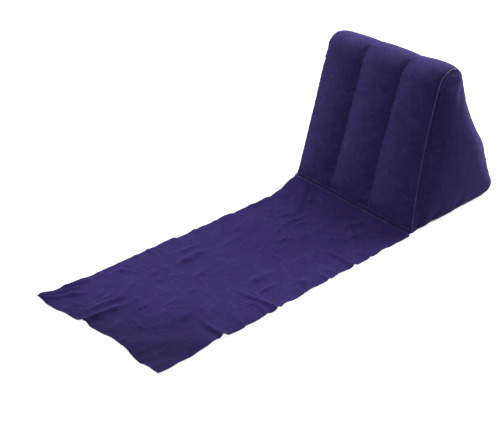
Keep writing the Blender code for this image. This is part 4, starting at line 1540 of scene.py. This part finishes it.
def ribs(name, points, side, pressed, pitch, radius, length, closed=False):
    """Ribs along a line of points, each lying along its own side."""
    values = {"Pitch": pitch, "Radius": radius, "Length": length, "Material": pressed}
    return along_line(name, points, closed, pressed_ribs(), values, side)


# Operators


class Shapes:
    """The grids that several operators share, worked out once."""

    wrap = None
    ends = None

    @classmethod
    def of(cls, scene):
        if cls.wrap is None:
            sizes = scene.wedge_sizes
            line = SeamLine(sizes)
            cls.wrap, ripples = wrap_points(sizes, scene.valve_sizes, line)
            cls.ends = {
                side: end_points(sizes, line, cls.wrap[:, column], ripples[side], side)
                for side, column in ((-1, 0), (1, -1))
            }
            blow_up(scene, cls.wrap, cls.ends)
        return cls


class BEACHMAT_OT_wedge_sheets(bpy.types.Operator):
    """Make the front, back and base sheets of the wedge"""

    bl_idname = "beachmat.wedge_sheets"
    bl_label = "Wedge sheets"

    def execute(self, context):
        scene = context.scene
        looks = scene.finishes
        wrap = Shapes.of(scene).wrap
        nap = named_material("flocked vinyl", flock, looks=looks, tint=looks.flock)
        plain = named_material("plain vinyl", vinyl, tint=looks.plain, gloss=0.42)
        spans = (
            ("wedge_front", 0, RIDGE_WELD_ROW, nap, "flocked_vinyl", "front_panel"),
            ("wedge_back", RIDGE_WELD_ROW, REAR_WELD_ROW, nap, "flocked_vinyl", "back_panel"),
            ("wedge_base", REAR_WELD_ROW, len(wrap) - 1, plain, "plain_vinyl", "base_panel"),
        )
        for name, first, last, cover, slot, node in spans:
            rows = wrap[first : last + 1]
            inner = rows - surface_normals(rows) * scene.wedge_sizes.sheet
            sheet = closed_sheet(name, rows, inner, cover)
            finish(sheet, "cushion", slot, node)
        return {"FINISHED"}


class BEACHMAT_OT_end_sheets(bpy.types.Operator):
    """Make the two end sheets of the wedge"""

    bl_idname = "beachmat.end_sheets"
    bl_label = "End sheets"

    def execute(self, context):
        scene = context.scene
        looks = scene.finishes
        ends = Shapes.of(scene).ends
        nap = named_material("flocked vinyl", flock, looks=looks, tint=looks.flock)
        for side, word in WORDS.items():
            inner = ends[side] - surface_normals(ends[side]) * scene.wedge_sizes.sheet
            sheet = closed_sheet("wedge_end_" + word, ends[side], inner, nap)
            finish(sheet, "cushion", "flocked_vinyl", "side_panel_" + word)
        return {"FINISHED"}


class BEACHMAT_OT_seam_beads(bpy.types.Operator):
    """Make the weld beads round the end sheets, and the inner webs' over the ridge"""

    bl_idname = "beachmat.seam_beads"
    bl_label = "Seam beads"

    def execute(self, context):
        scene = context.scene
        welds = scene.weld_sizes
        wrap = Shapes.of(scene).wrap
        pressed = named_material("welded edge", weld, looks=scene.finishes)
        girth, wander = welds.bead, welds.wander * 2
        for word, column, seed in (("left", 0, 3), ("right", -1, 8)):
            loop, name = wrap[:-1, column], "seam_weld_" + word
            seam = bead(name, loop, pressed, seed, girth, wander, SEAM_STEP, closed=True)
            finish(seam, "cushion", "weld_vinyl", "seam_bead_" + word)
        stations = station_rows()
        rows = (stations > WEB_WELD_STATIONS[0]) & (stations < WEB_WELD_STATIONS[1])
        girth, wander = welds.crease, welds.wander * 0.5
        for word, column, seed in (("left", CHANNEL_COLUMNS, 4), ("right", 2 * CHANNEL_COLUMNS, 9)):
            crease = bead("web_weld_" + word, wrap[rows, column], pressed, seed, girth, wander)
            finish(crease, "cushion", "weld_vinyl")
        return {"FINISHED"}


class BEACHMAT_OT_lap_welds(bpy.types.Operator):
    """Make the ribbed lap welds across the back and the base"""

    bl_idname = "beachmat.lap_welds"
    bl_label = "Lap welds"

    def execute(self, context):
        scene = context.scene
        welds = scene.weld_sizes
        wrap = Shapes.of(scene).wrap
        pressed = named_material("lap weld", weld, looks=scene.finishes, pale=0.20)
        normals = surface_normals(wrap)
        for row, name, node in (
            (RIDGE_WELD_ROW, "lap_weld_top", "ridge_weld_band"),
            (REAR_WELD_ROW, "lap_weld_rear", "rear_weld_band"),
        ):
            middle, rise = wrap[row], normals[row] * welds.band_rise
            down = wrap[row + 1] - wrap[row - 1]
            down /= np.linalg.norm(down, axis=1)[:, None]
            flat = np.array([middle + down * welds.band * across for across, _ in LAP_PROFILE])
            proud = np.array([rise * height for _, height in LAP_PROFILE])
            band = closed_sheet(name, flat + proud, flat - rise, pressed)
            finish(band, "cushion", "weld_vinyl", node)
            length, name = welds.band * RIB_SPAN, name + "_ribs"
            rib_row = ribs(name, middle + rise, down, pressed, welds.rib_pitch, welds.rib, length)
            finish(rib_row, "cushion", "weld_vinyl")
        return {"FINISHED"}


class BEACHMAT_OT_foot_weld(bpy.types.Operator):
    """Make the flat weld along the foot of the front, with a line at each of its edges"""

    bl_idname = "beachmat.foot_weld"
    bl_label = "Foot weld"

    def execute(self, context):
        scene = context.scene
        looks, sizes, welds = scene.finishes, scene.wedge_sizes, scene.weld_sizes
        half = sizes.base_width / 2 + sizes.foot_spread - sizes.sheet
        across = np.linspace(-1, 1, FOOT_COLUMNS + 1) * half
        x, place = np.meshgrid(across, np.linspace(0, 1, FOOT_ROWS + 1))
        y = FLANGE_LOW.y + (FLANGE_HIGH.y - FLANGE_LOW.y) * place
        waves = rough(np.stack([x, y * 0, y * 0], axis=-1), FOOT_WAVES)
        y = y + waves * np.sin(math.pi * place)
        middle = sizes.seam_height + roll_lift(sizes, x, sizes.seam_height)
        thick = sizes.sheet * (1 + 0.5 * np.sin(math.pi * place) ** 0.5)
        top = np.stack([x, y, middle + thick / 2], axis=-1)
        under = np.stack([x, y, middle - thick / 2], axis=-1)
        nap = named_material("flocked vinyl", flock, looks=looks, tint=looks.flock)
        strip = closed_sheet("foot_weld", top, under, nap)
        finish(strip, "cushion", "flocked_vinyl", "front_weld_flange")
        rear = Shapes.of(scene).wrap[FOOT_LINE_ROW]
        for word, points, girth, pale, seed in (
            ("front", top[0], 1.5, 0.04, 6),
            ("rear", rear, 1.0, 0.14, 5),
        ):
            pressed = named_material(word + " foot line", weld, looks=looks, pale=pale)
            name = "foot_weld_line_" + word
            line = bead(name, points, pressed, seed, welds.line * girth, welds.wander)
            finish(line, "cushion", "weld_vinyl")
        return {"FINISHED"}


class BEACHMAT_OT_mat(bpy.types.Operator):
    """Make the sheet that lies in front of the wedge"""

    bl_idname = "beachmat.mat"
    bl_label = "Mat"

    def execute(self, context):
        scene = context.scene
        mat, looks = scene.mat_sizes, scene.finishes
        under = MatGrid(mat).points(scene.wedge_sizes)
        top = under + surface_normals(under) * mat.sheet
        # The mat's flock gets painted shade off its near front corner, where the sheet slopes from
        # the lamps
        nap = named_material(
            "flocked mat", flock, looks=looks, tint=looks.mat,
            crinkle=0.7, brushing=0.6, mottle=0.10, lay=0.48,
        )
        sheet = closed_sheet("mat", top, under, nap, SHARP_FOLD)
        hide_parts("mat_sheet")
        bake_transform(sheet)
        return {"FINISHED"}


class BEACHMAT_OT_valve(bpy.types.Operator):
    """Make the push-in air valve low on the back"""

    bl_idname = "beachmat.valve"
    bl_label = "Valve"

    def execute(self, context):
        valve, looks = context.scene.valve_sizes, context.scene.finishes
        side = Vector((1, 0, 0))
        axes = Matrix((side, VALVE_OUT.cross(side), VALVE_OUT)).transposed().to_4x4()
        place = Matrix.Translation(valve_seat(valve)) @ axes
        soft = named_material("valve vinyl", vinyl, tint=looks.valve, gloss=0.30, coat=0.25)
        for name, body, node, profile, edge in (
            ("valve_ring", "cushion", "valve_base", self.ring(valve), valve.edge * 0.5),
            ("valve_tube", "stem", "valve_stem", self.stem(valve), valve.edge),
            ("valve_cap", "plug", "valve_plug", self.plug(valve), valve.edge),
        ):
            piece = turned(name, profile, edge, place, soft)
            finish(piece, body, "valve_vinyl", node)
        self.grips(valve, place, soft)
        self.tether(valve, place, soft)
        return {"FINISHED"}

    def ring(self, valve):
        """The ring's outline with its sleeve: it is recessed for the stem's collar."""
        low, thickness = valve.gap, valve.ring_thickness
        top, recess = low + thickness, low + thickness * 0.6
        inner = valve.stem_radius + valve.play
        sleeve = inner + valve.sleeve_wall
        shoulder = valve.collar_radius + valve.play
        return (
            (valve.ring_radius, low + thickness * 0.35),
            (valve.ring_radius, -valve.gap),
            (sleeve, -valve.gap),
            (sleeve, -valve.sleeve_depth),
            (inner, -valve.sleeve_depth),
            (inner, top),
            (shoulder + valve.play, top),
            (shoulder + valve.play * 2, recess),
            (valve.ring_radius - thickness, recess),
        )

    def stem(self, valve):
        """The stem's outline with its collar and its bore."""
        top = collar_top(valve)
        low = top - valve.collar_thickness
        return (
            (valve.collar_radius, top),
            (valve.collar_radius, low),
            (valve.stem_radius, low),
            (valve.stem_radius, -valve.stem_depth),
            (valve.bore_radius, -valve.stem_depth),
            (valve.bore_radius, top),
        )

    def plug(self, valve):
        """The plug's outline, with a dished cap and a tapered end."""
        low = collar_top(valve) + valve.gap
        top, dish = low + valve.cap_thickness, low + valve.cap_thickness * 0.65
        root = valve.bore_radius - valve.play
        return (
            (0, dish),
            (valve.cap_radius * 0.55, dish),
            (valve.cap_radius * 0.68, top),
            (valve.cap_radius, top),
            (valve.cap_radius, low),
            (root, low),
            (root - valve.plug_taper, low - valve.plug_length),
            (0, low - valve.plug_length),
        )

    def grips(self, valve, place, soft):
        """The ribs round the cap's rim."""
        height = collar_top(valve) + valve.gap + valve.cap_thickness * 0.5
        radius = valve.cap_radius
        rim = [
            place @ Vector((radius * math.cos(a), radius * math.sin(a), height))
            for a in np.linspace(0, math.tau, valve.grips * 6, endpoint=False)
        ]
        out = np.tile(np.array(VALVE_OUT), (len(rim), 1))
        pitch, length = math.tau * radius / valve.grips, valve.cap_thickness * 0.6
        grips = ribs("valve_cap_grips", rim, out, soft, pitch, valve.grip, length, closed=True)
        finish(grips, "plug", "valve_vinyl")

    def tether(self, valve, place, soft):
        """The flat strap from the plug's cap to the hinge on the collar."""
        start = valve.cap_radius - valve.play
        end = (place.inverted() @ PLUG_HINGE).x
        u, v = np.meshgrid(np.linspace(0, 1, 13), np.linspace(-0.5, 0.5, 9))
        x = start + (end - start) * u
        y = v * valve.tether_width * (1 - 0.25 * np.sin(math.pi * u))
        pillow = valve.tether_thickness / 2 * (1 - (2 * np.abs(v)) ** 4 * 0.5)
        grids = []
        for sign in (1, -1):
            z = strap_middle(valve) + sign * pillow
            local = np.stack([x, y, z, np.ones(x.shape)], axis=-1)
            grids.append((local @ np.array(place).T)[..., :3])
        strap = closed_sheet("valve_strap", *grids, soft)
        finish(strap, "plug", "valve_vinyl", "valve_tether")


class BEACHMAT_OT_inner_webs(bpy.types.Operator):
    """Make the two inner webs, bent to the creases that they are welded to"""

    bl_idname = "beachmat.inner_webs"
    bl_label = "Inner webs"

    def execute(self, context):
        scene = context.scene
        sizes = scene.wedge_sizes
        bare = named_material("web vinyl", vinyl, tint=scene.finishes.web, gloss=0.45)
        for side, word in WORDS.items():
            flat = frame["nodes"]["beam_" + word]
            mesh = flat.data.copy()
            mesh.transform(flat.matrix_world)
            x, y, z = np.array([vertex.co for vertex in mesh.vertices]).T
            aside = x - np.polyval(np.polyfit(z, x, 1), z)
            across, up = side / CHANNELS, up_share(sizes, z)
            x = across * half_width(sizes, z) + sizes.lean * up + aside
            x += crease_shift(sizes, across, up)
            z = z + roll_lift(sizes, x, z)
            mesh.vertices.foreach_set("co", np.stack([x, y, z], axis=-1).ravel())
            clad(mesh, bare)
            finish(linked("web_" + word, mesh), "cushion", "web_vinyl", "beam_" + word)
        return {"FINISHED"}


class BEACHMAT_OT_carried_over(bpy.types.Operator):
    """Give the frame's own flap its finish"""

    bl_idname = "beachmat.carried_over"
    bl_label = "Valve flap"

    def execute(self, context):
        tint = context.scene.finishes.valve
        soft = named_material("flap vinyl", vinyl, tint=tint, gloss=0.36)
        for slot in frame["nodes"]["valve_flap"].material_slots:
            slot.material = soft
        return {"FINISHED"}


class BEACHMAT_OT_stage(bpy.types.Operator):
    """Make the floor, the lamps, the surroundings and the camera"""

    bl_idname = "beachmat.stage"
    bl_label = "Stage"

    def execute(self, context):
        scene = context.scene
        stage = scene.stage_sizes
        half = stage.floor_size / 2
        mesh = bpy.data.meshes.new("floor")
        corners = [(-half, -half, 0), (half, -half, 0), (half, half, 0), (-half, half, 0)]
        mesh.from_pydata(corners, [], [(0, 1, 2, 3)])
        mesh.materials.append(named_material("studio floor", studio_floor, looks=scene.finishes))
        floor = linked("floor", mesh)

        aim = Vector((stage.aim_across, FOOT_Y + stage.aim_along, 0))
        for name, towards, power in (
            ("low rear", (0.14, 0.85, 0.50), stage.rear_power),
            ("high rear", (-0.08, 0.49, 0.87), stage.top_power),
            ("front left", (-0.68, -0.54, 0.50), stage.front_power),
        ):
            light = bpy.data.lights.new(name, "AREA")
            light.energy = power
            light.size = LAMP_SIZE
            self.aimed(name, light, Vector(towards).normalized(), LAMP_DISTANCE, aim)
        self.surroundings(scene, stage.ambient)
        self.camera(scene, stage, aim)
        scene.view_settings.view_transform = "Standard"
        return {"FINISHED"}

    def aimed(self, name, data, back, distance, aim):
        """A lamp or a camera at a distance from its aim, turned to it."""
        item = linked(name, data)
        item.location = aim + back * distance
        item.rotation_euler = back.to_track_quat("Z", "Y").to_euler()
        return item

    def surroundings(self, scene, ambient):
        """Even light all round, which looks white where it is seen."""
        scene.world = bpy.data.worlds.new("studio")
        scene.world.use_nodes = True
        nodes = Nodes(scene.world.node_tree)
        background = nodes.tree.nodes["Background"].inputs
        strength = nodes.remap(seen_directly(nodes), 0.0, 1.0, ambient, 1.0)
        nodes.feed(background, {"Color": (1, 1, 1), "Strength": strength})

    def camera(self, scene, stage, aim):
        lens = bpy.data.cameras.new("camera")
        lens.lens = stage.focal_pixels / PHOTO_WIDTH * lens.sensor_width
        flat = math.cos(stage.elevation)
        ahead = Vector((math.sin(stage.azimuth), -math.cos(stage.azimuth), 0)) * flat
        back = ahead + Vector((0, 0, math.sin(stage.elevation)))
        scene.camera = self.aimed("camera", lens, back, stage.distance, aim)


OPERATORS = (
    BEACHMAT_OT_wedge_sheets,
    BEACHMAT_OT_end_sheets,
    BEACHMAT_OT_seam_beads,
    BEACHMAT_OT_lap_welds,
    BEACHMAT_OT_foot_weld,
    BEACHMAT_OT_mat,
    BEACHMAT_OT_valve,
    BEACHMAT_OT_inner_webs,
    BEACHMAT_OT_carried_over,
    BEACHMAT_OT_stage,
)


class BEACHMAT_PT_sidebar(bpy.types.Panel):
    """Lists the sizes, the colours and the pieces to make"""

    bl_idname = "BEACHMAT_PT_sidebar"
    bl_label = "Beach mat"
    bl_space_type = "VIEW_3D"
    bl_region_type = "UI"
    bl_category = "Beach mat"

    def draw(self, context):
        for name, group in SETTINGS.items():
            box = self.layout.box()
            box.label(text=group.__doc__)
            for item in group.__annotations__:
                box.prop(getattr(context.scene, name), item)
        for operator in OPERATORS:
            self.layout.operator(operator.bl_idname)


CLASSES = (*SETTINGS.values(), *OPERATORS, BEACHMAT_PT_sidebar)


def register():
    for item in CLASSES:
        bpy.utils.register_class(item)
    for name, group in SETTINGS.items():
        setattr(bpy.types.Scene, name, PointerProperty(type=group))


def unregister():
    for name in SETTINGS:
        delattr(bpy.types.Scene, name)
    for item in reversed(CLASSES):
        bpy.utils.unregister_class(item)


def main():
    register()
    for operator in OPERATORS:
        group, name = operator.bl_idname.split(".")
        getattr(getattr(bpy.ops, group), name)()


if __name__ == "__main__":
    main()
